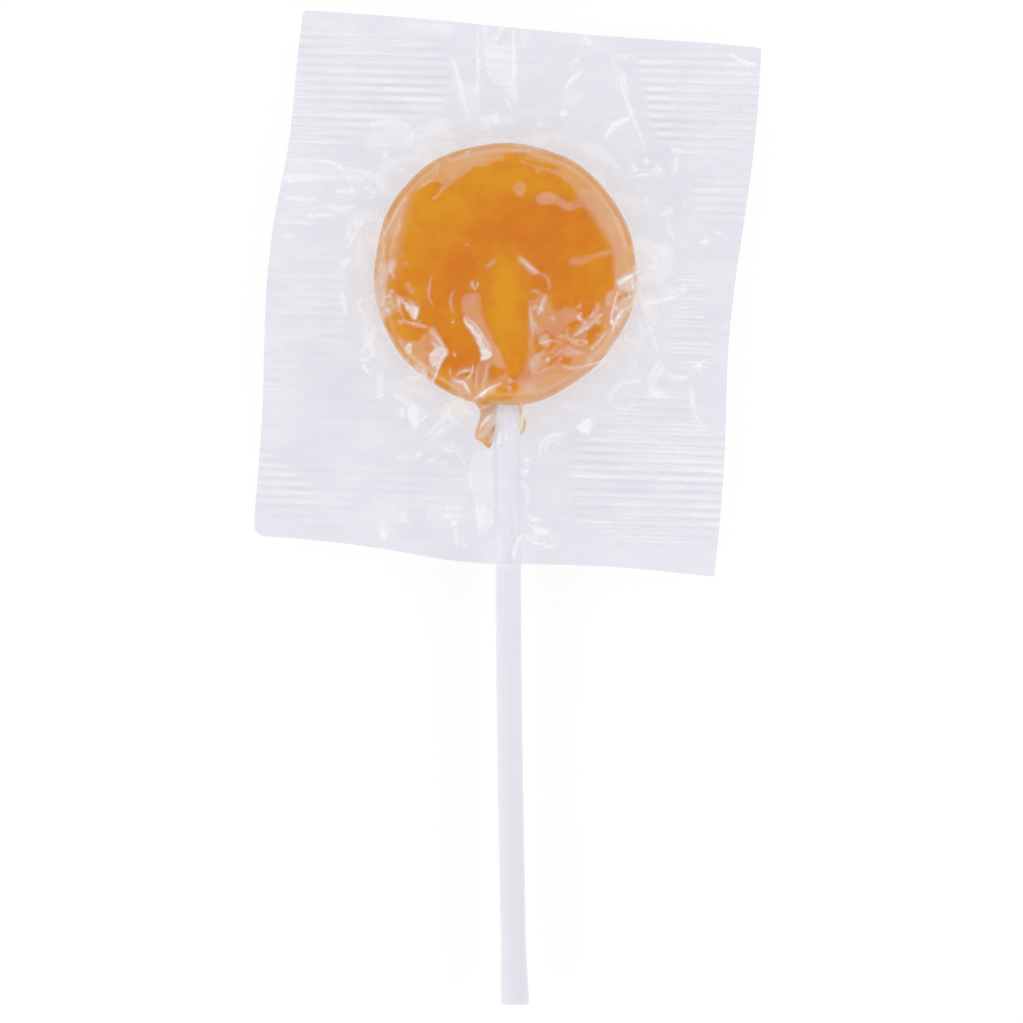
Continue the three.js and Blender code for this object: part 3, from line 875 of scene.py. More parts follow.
# Where the film over the sweet is finely crumpled, partly haze and partly painted glints: outline, share of
# white.
CRINKLED = (
    (((13.2, -1.2), (15.8, -0.8), (16.0, -3.6), (15.2, -6.6), (13.8, -7.6), (12.9, -5.0)), 0.75),
    (((-12.8, -8.4), (-10.0, -8.0), (-7.4, -9.4), (-8.6, -12.4), (-9.6, -14.0), (-11.8, -11.6)), 0.6),
    (((3.2, -2.6), (5.6, -2.2), (5.4, -5.0), (4.0, -7.6), (3.2, -6.0)), 0.45),
    (((6.4, -4.6), (12.4, -4.0), (12.8, -8.0), (9.0, -11.4), (4.0, -12.6), (3.4, -9.4)), 0.42),
    (((-15.8, 1.4), (-13.6, 1.6), (-14.0, -5.4), (-15.6, -5.8)), 0.6),
    (((-3.4, -16.2), (-1.6, -15.2), (2.6, -15.4), (3.0, -12.4), (1.6, -12.8), (-1.6, -13.6), (-3.4, -14.6)),
     0.4),
    (((-13.4, -3.0), (-10.6, -4.0), (-10.4, -6.4), (-13.6, -6.0)), 0.5),
)
# Creases where the film stands off the sweet: width, white (stretched plastic and painted highlight), route.
SWEET_CREASES = (
    (0.16, 0.5, ((-4.9, -5.3), (-4.3, -5.9), (-3.5, -6.6), (-2.7, -7.8), (-1.9, -9.2), (-1.5, -10.2))),
    (0.14, 0.4, ((-3.2, -11.2), (-3.5, -12.6), (-3.6, -14.0), (-3.6, -15.2))),
    (0.16, 0.3, ((-2.1, -11.2), (-2.3, -12.6), (-2.8, -14.2))),
    (0.2, 0.4, ((1.7, 2.3), (2.3, 1.6), (3.4, 0.6), (4.4, -0.1))),
    (0.14, 0.35, ((4.4, -0.1), (5.2, -0.6), (5.55, -1.6), (5.4, -2.2))),
    (0.2, 0.4, ((5.3, -2.6), (4.6, -4.0), (4.2, -5.4))),
    (0.14, 0.3, ((3.1, -4.0), (3.3, -6.0), (3.6, -8.4))),
    (0.14, 0.5, ((-4.0, -0.9), (-3.9, -1.6), (-3.5, -2.2))),
    (0.1, 0.45, ((-3.4, -1.0), (-3.4, -1.9))),
    (0.14, 0.5, ((-12.7, -5.4), (-12.3, -6.0), (-10.8, -6.4), (-9.4, -6.8))),
    (0.12, 0.4, ((-13.4, -2.6), (-13.0, -4.4), (-12.6, -5.6))),
    (0.12, 0.4, ((-9.1, -7.3), (-8.4, -8.0), (-7.7, -8.9), (-7.1, -9.7))),
    (0.14, 0.55, ((-9.0, -14.1), (-8.5, -12.6), (-7.9, -11.2), (-7.0, -10.0))),
    (0.16, 0.6, ((-6.2, -12.9), (-5.3, -12.4), (-4.5, -12.2), (-4.0, -12.4))),
    (0.18, 0.95, ((-6.6, -13.0), (-5.8, -13.5), (-5.1, -13.6), (-4.6, -14.4), (-4.2, -15.1))),
    (0.12, 0.6, ((-5.1, -13.6), (-4.4, -12.9), (-4.0, -12.2), (-4.0, -11.4))),
    (0.1, 0.5, ((-6.8, -11.8), (-6.75, -12.4), (-6.5, -13.1))),
    (0.1, 0.5, ((-6.3, -9.8), (-6.0, -10.5))),
    (0.16, 0.8, ((-3.9, -15.8), (-3.3, -15.4), (-2.6, -14.9), (-1.9, -14.4), (-1.0, -14.0), (-0.3, -13.7))),
    (0.14, 0.3, ((-8.0, 13.8), (-8.3, 12.8), (-8.6, 12.0))),
    (0.14, 0.3, ((-4.1, 15.6), (-4.9, 14.8), (-5.6, 14.3))),
    (0.14, 0.35, ((-10.7, 10.6), (-9.8, 11.1), (-8.8, 11.6))),
    (0.16, 0.24, ((-12.4, 9.3), (-12.9, 8.6), (-13.6, 7.4), (-14.4, 5.8), (-15.2, 4.2))),
    (0.16, 0.22, ((-12.8, 7.0), (-13.3, 5.6), (-14.0, 3.4), (-14.5, 1.4))),
    (0.1, 0.3, ((0.8, 15.3), (2.8, 15.3), (4.6, 15.0), (5.8, 14.6))),
    (0.1, 0.3, ((0.8, 15.9), (3.0, 15.8), (5.0, 15.4))),
    (0.12, 0.55, ((14.3, -2.0), (13.8, -3.1), (13.6, -4.2), (13.3, -5.4), (13.5, -6.8))),
    (0.26, 0.5, ((14.0, -1.7), (14.9, -0.9), (16.0, -0.3), (16.8, 0.2), (18.2, 0.7), (19.1, 0.4))),
    (0.16, 0.45, ((15.9, -0.4), (16.0, -1.6), (16.2, -2.8), (15.9, -3.9), (14.9, -4.6))),
    (0.12, 0.45, ((14.9, -4.6), (14.3, -5.4), (13.8, -6.4), (13.4, -7.4))),
    (0.1, 0.4, ((14.3, -2.0), (14.6, -2.4), (15.2, -3.2), (15.7, -2.9))),
    (0.12, 0.3, ((8.6, -8.0), (9.9, -7.2), (11.4, -6.0), (12.3, -4.9))),
    (0.1, 0.35, ((9.0, -4.9), (9.2, -5.5), (9.8, -5.9))),
    (0.12, 0.4, ((7.0, -11.5), (8.4, -11.8), (10.2, -11.5), (11.6, -11.1), (12.5, -10.6))),
    (0.1, 0.35, ((10.8, -9.4), (11.8, -8.6), (12.4, -7.8), (12.9, -7.4))),
    (0.1, 0.3, ((4.2, -8.8), (5.8, -8.4), (7.2, -8.8))),
    (0.1, 0.3, ((4.4, -11.2), (5.8, -10.6), (7.4, -9.4))),
    (0.1, 0.3, ((3.6, -12.8), (5.0, -12.0), (6.8, -11.6))),
    (0.12, 0.3, ((-9.0, -0.2), (-9.4, -2.6), (-8.8, -4.2))),
    (0.12, 0.25, ((-6.3, -2.0), (-6.8, -3.4), (-6.4, -5.2))),
    (0.08, 0.5, ((-6.6, -6.2), (-6.2, -6.1))),
    (0.08, 0.35, ((-4.9, 3.7), (-4.3, 3.4))),
    (0.3, 0.7, ((-3.3, -19.6), (-2.6, -18.6), (-1.9, -17.9), (-1.2, -17.6))),
    (0.2, 0.3, ((-3.2, -16.9), (-2.6, -16.7), (-1.6, -16.5))),
    (0.4, 0.45, ((-3.4, -20.0), (-2.6, -19.0), (-1.4, -17.6), (-0.2, -16.4))),
    (0.3, 0.7, ((-1.0, -21.6), (-0.6, -20.4), (-0.3, -19.6))),
    (0.3, 0.5, ((-0.3, -19.6), (0.0, -20.2), (0.3, -20.8))),
    (0.14, 0.6, ((1.9, -16.0), (2.4, -17.2), (2.2, -18.6), (2.0, -20.2))),
    (0.16, 0.45, ((-2.0, -21.4), (-1.2, -19.8), (-0.9, -18.0))),
)
# Creases, strands and glints of the film round the sweet: width, white, route.
FILM_CREASES = (
    # above the sweet
    (0.2, 0.65, ((-7.0, 27.2), (-6.3, 26.6), (-5.8, 24.8), (-5.4, 23.2), (-5.1, 21.6), (-4.4, 19.6),
                 (-3.9, 18.9))),
    (0.16, 0.5, ((-3.4, 30.6), (-3.4, 28.0), (-3.4, 24.8), (-3.5, 22.6), (-3.3, 21.0), (-3.1, 19.8))),
    (0.2, 0.7, ((-3.4, 27.0), (-3.3, 26.2))),
    (0.2, 0.7, ((1.0, 30.6), (1.1, 28.0), (1.15, 25.4), (1.0, 24.2), (1.2, 22.4), (1.3, 20.6))),
    (0.2, 0.5, ((1.2, 20.2), (0.4, 21.2), (0.0, 22.2))),
    (0.2, 0.8, ((-2.7, 27.9), (-1.8, 27.9))),
    (0.3, 0.9, ((-1.4, 20.0), (-0.9, 19.4), (-0.7, 18.6))),
    (0.25, 0.45, ((-2.6, 19.9), (-2.2, 18.6), (-1.8, 17.9))),
    (0.2, 0.7, ((1.1, 19.7), (1.3, 19.7))),
    (0.25, 0.7, ((4.2, 18.9), (4.5, 18.2))),
    (0.25, 0.6, ((7.9, 18.6), (7.9, 17.8))),
    (0.3, 0.95, ((7.1, 19.5), (7.4, 20.6))),
    (0.3, 0.5, ((-7.9, 19.5), (-7.0, 18.9))),
    (0.2, 0.6, ((7.6, 23.2), (8.3, 24.0), (9.0, 24.7), (9.8, 25.2))),
    (0.25, 0.6, ((7.5, 23.0), (7.9, 23.5))),
    (0.2, 0.5, ((9.3, 27.4), (9.0, 26.8), (8.0, 26.0))),
    (0.3, 0.45, ((9.8, 30.1), (10.4, 29.4), (10.9, 28.4))),
    (0.16, 0.6, ((12.9, 28.2), (13.4, 27.2), (14.3, 25.6), (14.6, 23.8), (15.2, 22.0), (15.7, 20.8),
                 (16.3, 19.0), (16.9, 17.6), (17.4, 16.4), (17.6, 15.2))),
    (0.4, 0.45, ((14.8, 25.4), (15.0, 23.8), (15.5, 22.0))),
    (0.2, 0.6, ((13.4, 27.3), (15.0, 27.4), (16.6, 27.5))),
    (0.25, 0.7, ((14.7, 27.3), (15.3, 27.3))),
    (0.3, 0.95, ((12.6, 16.7), (13.0, 17.8), (13.6, 18.6), (14.6, 19.2), (15.7, 19.5))),
    (0.3, 0.6, ((12.5, 17.6), (13.4, 18.0), (14.2, 18.8))),
    (0.16, 0.8, ((28.0, 28.0), (29.4, 26.9), (31.7, 26.2))),
    (0.3, 0.55, ((-17.0, 18.2), (-15.6, 18.9), (-13.6, 18.9), (-11.8, 18.3))),
    (0.25, 0.65, ((-17.6, 15.8), (-15.0, 16.2), (-12.6, 16.0), (-11.4, 15.8))),
    (0.2, 0.45, ((-16.8, 17.4), (-14.4, 17.6), (-12.4, 17.0))),
    (0.3, 0.75, ((-15.4, 14.8), (-14.4, 14.7))),
    (0.2, 0.4, ((-12.0, 18.2), (-11.4, 17.0), (-12.0, 15.8))),
    (0.25, 0.6, ((-13.0, 12.9), (-12.8, 12.7))),
    # left of it
    (0.18, 0.65, ((-27.3, 14.3), (-24.0, 14.2), (-21.6, 14.0), (-20.4, 13.3), (-18.8, 12.9),
                  (-16.2, 12.6))),
    (0.22, 0.95, ((-20.9, 13.4), (-20.1, 13.3))),
    (0.22, 0.85, ((-19.9, 12.1), (-19.2, 12.1))),
    (0.16, 0.8, ((-27.2, 11.6), (-26.5, 11.5))),
    (0.16, 0.6, ((-21.4, 10.6), (-20.0, 10.3), (-18.2, 10.1))),
    (0.16, 0.7, ((-19.6, 10.5), (-18.9, 10.4))),
    (0.22, 0.6, ((-27.8, 9.6), (-25.8, 9.5), (-23.2, 9.3))),
    (0.2, 0.6, ((-22.2, 8.4), (-20.4, 8.3), (-18.6, 8.5))),
    (0.18, 0.5, ((-25.0, 7.3), (-22.8, 7.4), (-21.0, 7.1))),
    (0.18, 0.6, ((-28.3, 6.5), (-26.0, 6.4), (-24.2, 6.1))),
    (0.16, 0.4, ((-28.6, 4.8), (-26.0, 4.6))),
    (0.2, 0.6, ((-17.8, 12.6), (-16.9, 12.2), (-16.3, 11.5), (-15.9, 10.9))),
    (0.18, 0.65, ((-15.9, 12.4), (-15.6, 11.2), (-15.2, 10.2))),
    (0.24, 0.7, ((-17.3, 10.9), (-16.8, 10.6))),
    (0.2, 0.7, ((-16.3, 10.8), (-16.6, 9.8), (-17.2, 9.1))),
    (0.14, 0.6, ((-18.9, 6.8), (-18.3, 6.2), (-18.4, 5.2), (-18.9, 4.2), (-19.4, 3.4), (-20.2, 2.8))),
    (0.16, 0.55, ((-17.6, 7.2), (-17.9, 6.0), (-18.2, 5.0))),
    (0.14, 0.55, ((-19.4, 5.6), (-19.4, 4.4))),
    (0.24, 0.75, ((-20.3, 0.7), (-19.6, 1.5), (-19.1, 2.1))),
    (0.16, 0.55, ((-18.1, 4.8), (-18.1, 1.6), (-17.7, -0.6), (-17.4, -1.8))),
    (0.18, 0.6, ((-20.4, -2.2), (-20.0, -3.6), (-19.8, -5.2))),
    (0.18, 0.9, ((-17.2, -3.0), (-17.9, -3.2), (-18.1, -4.0), (-17.8, -4.8), (-17.3, -5.6), (-17.1, -6.6),
                 (-17.0, -8.2))),
    (0.25, 0.45, ((-16.0, -6.2), (-16.2, -7.8), (-16.6, -9.2))),
    (0.16, 0.8, ((-18.2, -10.1), (-17.5, -9.0), (-16.6, -8.9), (-16.3, -9.6), (-16.9, -10.6),
                 (-17.6, -10.8), (-18.2, -10.3))),
    (0.2, 0.7, ((-17.9, -11.2), (-17.3, -12.2), (-16.4, -12.8))),
    (0.22, 0.8, ((-17.4, -12.0), (-17.0, -12.4))),
    (0.4, 0.4, ((-15.9, -12.0), (-15.6, -13.6), (-15.4, -15.2))),
    (0.3, 0.6, ((-15.5, -15.0), (-15.3, -15.5))),
    # below it
    (0.25, 0.6, ((-12.6, -16.5), (-12.8, -17.5), (-13.0, -18.2))),
    (0.16, 0.65, ((-9.4, -17.8), (-10.2, -18.2), (-10.6, -18.8))),
    (0.2, 0.45, ((-10.9, -12.6), (-11.2, -14.0), (-11.9, -15.6))),
    (0.3, 0.55, ((-6.6, -18.8), (-7.6, -19.2), (-8.6, -20.1), (-9.3, -20.8))),
    (0.25, 0.6, ((-7.0, -17.6), (-7.6, -18.2), (-8.6, -19.0), (-9.9, -20.6))),
    (0.3, 0.75, ((-7.8, -18.2), (-7.1, -17.7))),
    (0.16, 0.6, ((-7.9, -21.7), (-7.0, -22.1), (-6.6, -22.4))),
    (0.2, 0.5, ((-8.3, -22.7), (-8.9, -23.2), (-9.8, -23.4))),
    (0.18, 0.55, ((-10.3, -22.4), (-11.2, -23.0))),
    (0.16, 0.45, ((-6.8, -23.4), (-8.2, -23.8))),
    (0.14, 0.35, ((-6.4, -20.0), (-6.6, -21.4), (-5.6, -22.8), (-4.6, -24.4))),
    (0.3, 0.5, ((-6.5, -16.2), (-6.8, -17.4), (-6.0, -18.8))),
    (0.3, 0.6, ((-5.3, -15.9), (-4.9, -16.6))),
    (0.2, 0.7, ((-3.9, -23.0), (-4.3, -24.6), (-4.3, -25.4), (-3.9, -27.4), (-3.4, -28.4))),
    (0.2, 0.8, ((-4.35, -24.9), (-4.3, -25.5))),
    (0.3, 0.8, ((-3.4, -28.2), (-3.3, -29.6), (-3.0, -31.6), (-3.0, -32.4))),
    (0.3, 0.55, ((-2.8, -28.0), (-2.4, -29.6), (-2.2, -31.6))),
    (0.2, 0.7, ((-1.6, -22.2), (-1.9, -23.0), (-2.2, -23.8))),
    (0.2, 0.6, ((-7.3, -29.2), (-7.0, -29.2))),
    (0.25, 0.45, ((-6.2, -29.2), (-5.7, -29.6))),
    (0.3, 0.4, ((-7.8, -30.0), (-6.8, -30.3), (-6.2, -30.6))),
    (0.3, 0.7, ((-6.9, -31.2), (-5.9, -31.0))),
    (0.25, 0.45, ((-6.3, -31.6), (-6.0, -33.2), (-6.0, -34.2))),
    (0.25, 0.45, ((-5.3, -33.4), (-4.6, -34.4))),
    (0.35, 0.7, ((-15.5, -31.6), (-15.3, -32.4), (-15.0, -33.2))),
    (0.3, 0.4, ((-13.6, -30.8), (-12.0, -31.0))),
    (0.2, 0.7, ((1.0, -36.0), (1.2, -34.6), (1.6, -33.4), (2.4, -32.6))),
    (0.16, 0.8, ((1.9, -24.9), (2.5, -24.9), (3.1, -24.6))),
    (0.22, 0.7, ((2.5, -23.6), (2.7, -22.8))),
    (0.2, 0.8, ((2.7, -30.2), (3.6, -30.8), (4.5, -30.9))),
    (0.22, 0.95, ((3.4, -31.5), (4.4, -32.1), (5.6, -32.2))),
    (0.16, 0.6, ((2.4, -32.1), (3.0, -33.1), (3.8, -33.5), (5.5, -34.0), (6.9, -33.9))),
    (0.14, 0.5, ((2.3, -25.8), (2.9, -27.6), (2.5, -29.4))),
    (0.16, 0.65, ((4.6, -22.9), (4.4, -21.8), (4.9, -20.8), (5.9, -20.2), (8.0, -20.0))),
    (0.14, 0.55, ((5.6, -22.4), (5.2, -21.6), (6.0, -20.9), (7.0, -21.2))),
    (0.3, 0.8, ((9.2, -19.4), (10.4, -18.9), (10.6, -18.2))),
    # right of it
    (0.4, 0.5, ((16.2, -0.4), (17.2, 0.4), (18.4, 0.7), (19.2, 0.3))),
    (0.25, 0.75, ((16.5, -4.5), (17.4, -3.9), (18.6, -3.6), (20.0, -3.3), (21.8, -2.8))),
    (0.4, 0.6, ((16.6, -4.2), (17.6, -3.6), (18.6, -3.4))),
    (0.2, 0.6, ((16.8, -0.4), (16.9, -2.4), (16.5, -4.2))),
    (0.16, 0.6, ((19.4, -1.8), (20.6, -2.2), (21.6, -2.3))),
    (0.25, 0.7, ((21.8, -2.0), (22.8, -2.2))),
    (0.35, 0.8, ((15.0, -7.4), (15.2, -8.2), (15.9, -8.6))),
    (0.2, 0.35, ((16.4, -5.0), (17.0, -7.4), (16.8, -9.0), (15.6, -9.8))),
    (0.14, 0.4, ((17.4, -5.6), (18.6, -7.6), (19.2, -10.0))),
    (0.22, 0.65, ((19.4, -10.6), (18.9, -11.8), (18.2, -12.8), (17.9, -13.6))),
    (0.2, 0.5, ((19.9, -11.2), (19.3, -12.4), (18.5, -13.6))),
    (0.35, 0.85, ((18.3, -14.2), (18.7, -14.6))),
    (0.25, 0.7, ((18.2, -14.2), (19.0, -15.0), (19.9, -15.2))),
    (0.22, 0.55, ((17.6, -13.4), (16.2, -13.6), (14.6, -13.8), (13.4, -15.0), (13.4, -16.2))),
    (0.2, 0.4, ((13.6, -16.4), (15.0, -16.8), (16.4, -16.2))),
    (0.2, 0.7, ((20.4, -12.6), (21.8, -12.9), (23.2, -12.8))),
    (0.16, 0.6, ((23.4, -13.8), (23.5, -15.4), (23.7, -17.0), (24.3, -18.4), (25.4, -19.6))),
    (0.25, 0.95, ((23.7, -11.3), (24.8, -11.5))),
    (0.2, 0.95, ((17.4, 14.0), (18.0, 13.9))),
    (0.24, 0.95, ((18.6, 13.0), (19.7, 12.9))),
    (0.15, 0.6, ((20.4, 16.0), (21.4, 15.4), (22.4, 15.2), (24.4, 15.2))),
    (0.22, 0.8, ((21.0, 15.4), (21.5, 15.3))),
    (0.18, 0.55, ((21.6, 15.2), (21.5, 13.6), (21.2, 12.0))),
    (0.2, 0.6, ((16.0, 14.0), (16.3, 13.2), (16.8, 12.8))),
    (0.14, 0.45, ((15.0, 11.4), (16.0, 12.0), (18.0, 12.4), (20.4, 12.2))),
    (0.4, 0.55, ((17.5, 9.3), (17.8, 9.0))),
    (0.28, 0.65, ((19.4, 7.2), (20.4, 7.8), (21.2, 8.0))),
    (0.3, 0.5, ((22.4, 8.6), (22.7, 8.4))),
    (0.14, 0.4, ((20.2, 7.0), (20.8, 5.4), (21.2, 4.0))),
    (0.22, 0.9, ((24.4, 3.9), (25.7, 3.9))),
    (0.18, 0.6, ((26.2, 5.2), (27.2, 4.9))),
)
# White panels in the film, partly milky plastic and partly painted reflection: outline, how white, soft edge.
PANELS = (
    (((-2.7, 31.2), (-2.0, 31.2), (-2.2, 28.8), (-0.6, 30.8), (0.1, 30.8), (-0.9, 28.6), (0.9, 28.4),
      (1.1, 22.0), (-0.2, 23.2), (-1.6, 24.0), (-2.5, 26.0)), 0.3, 0.25),
    (((-5.8, 24.6), (-5.0, 23.6), (-3.4, 23.4), (-3.2, 20.0), (-3.9, 18.9), (-4.6, 20.0)), 0.2, 0.3),
    (((2.1, 30.2), (2.9, 30.4), (2.9, 28.6), (2.1, 28.6)), 0.25, 0.3),
    (((6.8, 21.0), (8.0, 22.8), (9.8, 22.8), (9.4, 21.4), (8.0, 20.8)), 0.2, 0.5),
    (((-13.2, 31.6), (-7.0, 31.4), (-6.8, 29.8), (-10.0, 30.2)), 0.35, 0.8),
    (((-17.4, 16.2), (-15.0, 18.7), (-12.2, 18.9), (-11.3, 16.6), (-13.4, 15.5)), 0.28, 0.7),
    (((12.5, 17.0), (13.2, 18.6), (15.0, 19.2), (14.0, 18.2)), 0.4, 0.4),
    (((-27.2, 12.5), (-22.0, 12.2), (-21.8, 11.8), (-27.2, 11.5)), 0.5, 0.25),
    (((-27.0, 14.2), (-21.0, 13.8), (-17.0, 12.6), (-17.6, 11.4), (-21.0, 11.6), (-27.2, 13.0)), 0.18, 0.5),
    (((-18.2, 5.0), (-16.9, 4.6), (-16.9, 0.0), (-17.2, -2.0), (-17.8, -1.5), (-18.2, 1.0)), 0.25, 0.5),
    (((-17.8, -3.2), (-16.9, -3.0), (-16.1, -5.5), (-16.4, -8.8), (-17.0, -8.4), (-17.3, -5.4)), 0.42, 0.3),
    (((16.7, 0.2), (17.9, 0.4), (17.4, -1.5), (17.2, -3.2), (18.2, -3.4), (17.3, -4.1), (16.5, -4.6),
      (16.8, -2.0)), 0.3, 0.3),
    (((-12.0, -16.6), (-11.2, -16.4), (-10.7, -17.3), (-10.8, -18.5), (-11.2, -19.5), (-11.8, -18.6),
      (-12.1, -17.6)), 0.7, 0.25),
    (((-6.6, -16.0), (-5.6, -15.6), (-4.8, -15.9), (-4.3, -17.0), (-3.9, -17.5), (-4.8, -18.0),
      (-5.8, -19.0), (-6.4, -18.4), (-6.9, -17.2)), 0.3, 0.3),
    (((-13.5, -22.6), (-10.8, -22.8), (-10.6, -23.2), (-13.4, -23.4)), 0.25, 0.2),
    (((-4.2, -24.6), (-4.0, -23.0), (-3.4, -22.2), (-2.2, -21.9), (-1.6, -22.4), (-1.4, -25.0),
      (-1.3, -31.0), (-2.2, -32.0), (-3.0, -32.4), (-3.4, -30.6), (-3.8, -28.2), (-4.3, -26.0)), 0.3, 0.25),
    (((-15.8, -30.8), (-14.2, -31.2), (-14.6, -33.8), (-15.6, -33.4)), 0.22, 0.4),
    (((-9.4, -29.4), (-6.0, -28.6), (-5.2, -31.2), (-9.0, -32.0)), 0.18, 0.7),
    (((-1.2, -17.4), (0.6, -17.0), (1.9, -17.6), (2.0, -19.5), (1.0, -21.5), (-0.9, -21.0)), 0.22, 0.6),
    (((2.2, -30.4), (5.4, -31.4), (6.6, -33.8), (3.6, -33.8)), 0.08, 0.5),
    (((9.0, -19.2), (10.7, -18.1), (10.5, -20.1)), 0.8, 0.2),
    (((-3.6, -20.4), (-2.7, -19.3), (-1.6, -18.0), (-0.4, -17.2), (-0.6, -18.4), (-1.8, -19.6),
      (-2.6, -20.6)), 0.4, 0.25),
    (((16.6, -0.4), (17.6, 0.6), (18.6, 0.6), (20.0, -1.0), (22.0, -2.2), (20.6, -3.0), (18.0, -3.6),
      (16.7, -4.3), (16.4, -3.4), (16.8, -2.0)), 0.16, 0.3),
    (((14.2, -8.0), (15.4, -7.0), (16.6, -7.4), (16.2, -9.4), (14.4, -10.0), (13.0, -9.9)), 0.22, 0.5),
    (((18.0, -13.4), (18.6, -14.0), (20.4, -15.2), (18.4, -15.4)), 0.4, 0.4),
)
# Where the crimped seal's ribs catch the light: outline, and how strongly.
RIB_PATCHES = (
    (((-27.0, 29.8), (-14.0, 29.6), (-8.0, 28.8), (-7.7, 24.2), (-8.3, 21.4), (-10.0, 19.6), (-17.0, 18.4),
      (-18.6, 17.0), (-20.0, 15.8), (-27.6, 15.8)), 0.9),
    (((-14.6, 25.0), (-7.6, 25.2), (-8.3, 20.4), (-14.6, 20.6)), 1.4),
    (((-2.7, 28.4), (1.0, 28.4), (1.1, 22.8), (-2.5, 23.6)), 0.4),
    (((17.6, 27.8), (31.6, 26.4), (30.8, 16.0), (21.0, 16.0), (18.6, 18.4), (17.8, 22.0)), 0.9),
    (((17.8, 23.4), (20.4, 23.2), (21.0, 17.6), (18.6, 18.2)), 1.4),
    (((24.4, 12.0), (30.8, 11.6), (30.0, 6.6), (24.0, 7.6)), 0.7),
    (((21.4, 0.0), (24.8, -0.4), (25.3, -6.0), (25.7, -11.8), (23.2, -11.6), (21.6, -10.4), (20.2, -9.4),
      (21.6, -4.2)), 1.3),
    (((15.6, -15.2), (23.4, -14.4), (24.4, -18.6), (27.6, -21.6), (27.1, -33.0), (11.0, -32.6),
      (8.6, -26.0), (8.6, -22.0), (12.2, -19.4)), 0.95),
    (((21.0, -19.4), (27.8, -20.8), (27.4, -27.0), (19.0, -27.0)), 1.3),
    (((-31.0, -10.4), (-26.8, -10.6), (-27.6, -13.0), (-28.0, -14.8), (-31.0, -15.4)), 0.9),
    (((-30.8, -22.6), (-28.4, -22.8), (-25.2, -25.6), (-24.4, -28.8), (-30.9, -29.0)), 0.8),
    (((-29.4, 7.0), (-22.0, 7.0), (-20.0, 0.0), (-20.5, -9.0), (-30.4, -9.5)), 0.3),
    (((-31.0, -24.0), (-6.0, -24.0), (-6.0, -30.0), (-31.0, -31.0)), 0.28),
)


def add_crease(x, y, height, white, route, width, glow):
    """One crease in the film: a low ridge, and white that is partly its stretched plastic and partly a
    painted highlight, which fades to one side.
    """
    line = smooth_line(route)
    near = places_near(x, y, line, 5 * width)
    if not len(near):
        return
    gap, share, side = distance_to_line(x[near], y[near], line)
    taper = np.clip(4 * share * (1 - share), 0, 1) ** 0.5
    # The sharp side changes from crease to crease: it follows from the route's length and its start.
    sharp_side = 1 if (len(route) + int(10 * abs(route[0][0]))) % 2 else -1
    local = width * (0.4 + 0.6 * taper)
    ridge = bell(gap, 0, local)
    halo = bell(gap, 0, local * np.where(side == sharp_side, 0.8, 2.6))
    uneven = 1 + 0.35 * soft_noise(x[near], y[near], 2.0, 71)
    height[near] += CREASE_RISE * width * ridge * taper
    # Painted highlight: the white is crisp on one side of the ridge and fades slowly on the other, like a
    # shine on a facet.
    shine = glow * uneven * (0.15 + 0.85 * taper) * (0.45 * ridge + 0.55 * halo)
    white[near] = np.maximum(white[near], shine)


def film_creases(x, y, front):
    """How high the creases stand, and how white they and the milky panels are, partly with painted highlights
    and reflections.
    """
    rise = np.zeros(len(x))
    white = np.zeros(len(x))
    creases = (*FILM_CREASES, *SWEET_CREASES) if front else FILM_CREASES[::2]
    for width, glow, route in creases:
        add_crease(x, y, rise, white, route, width, glow)
    if front:
        for outline, glow, soft in PANELS:
            white = np.maximum(white, glow * inside_patch(x, y, outline, soft))
    return rise, white


def outline_swing(along, bow, ripple):
    """How far out a cut edge lies, next to a straight one: it bows once and ripples on its way."""
    return 1 + bow * np.sin(math.pi * along) + ripple * np.sin(3 * math.pi * along)


def round_left_corner(u, v, left, end, side, radius):
    """Rounds the corner of the left edge with the upper one, or with the lower one where side is -1."""
    from_left = np.clip(radius - (u + left), 0, None)
    from_end = np.clip(radius - (end - side * v), 0, None)
    pull = 1 - np.maximum(from_left, from_end) / np.maximum(np.hypot(from_left, from_end), 1e-9)
    corner = (from_left > 0) & (from_end > 0)
    return u + np.where(corner, from_left * pull, 0), v - side * np.where(corner, from_end * pull, 0)


def sheet_places(across, up):
    """Places in the wrapper, for across and up from -1 to 1, inside its wavy cut edges."""
    along_ribs = math.tan(RIB_TURN - WRAP_TURN) * WRAP_WIDTH / WRAP_HEIGHT
    up = up + along_ribs * across * (1 - up**6)
    top = outline_swing((across + 1) / 2, 0.006, 0.003) + 0.01 * smoothstep(across, 0.4, 1)
    right = outline_swing((1 - up) / 2, -0.012, 0.012)
    right = right + 0.008 * smoothstep(up, -0.2, 0.3) + 0.004 * smoothstep(-up, 0.7, 1)
    bottom = outline_swing((1 - across) / 2, 0.008, -0.005) + 0.006 + 0.004 * smoothstep(across, 0.5, 1)
    bottom = bottom + 0.018 * bell(across, -0.08, 0.3)
    left = outline_swing((up + 1) / 2, 0.042, -0.004) + 0.018 * smoothstep(-up, 0.45, 1)
    left = left + 0.009 * bell(up, 0.05, 0.35) - 0.016 * bell(up, 0.5, 0.22)
    u = WRAP_WIDTH / 2 * lerp(-left, right, (across + 1) / 2)
    v = WRAP_HEIGHT / 2 * lerp(-bottom, top, (up + 1) / 2)
    left, bottom, top = WRAP_WIDTH / 2 * left, WRAP_HEIGHT / 2 * bottom, WRAP_HEIGHT / 2 * top
    u, v = round_left_corner(u, v, left, bottom, -1, LOWER_CORNER)
    u, v = round_left_corner(u, v, left, top, 1, UPPER_CORNER)
    c, s = math.cos(WRAP_TURN), math.sin(WRAP_TURN)
    return WRAP_CENTRE[0] + u * c - v * s, WRAP_CENTRE[1] + u * s + v * c


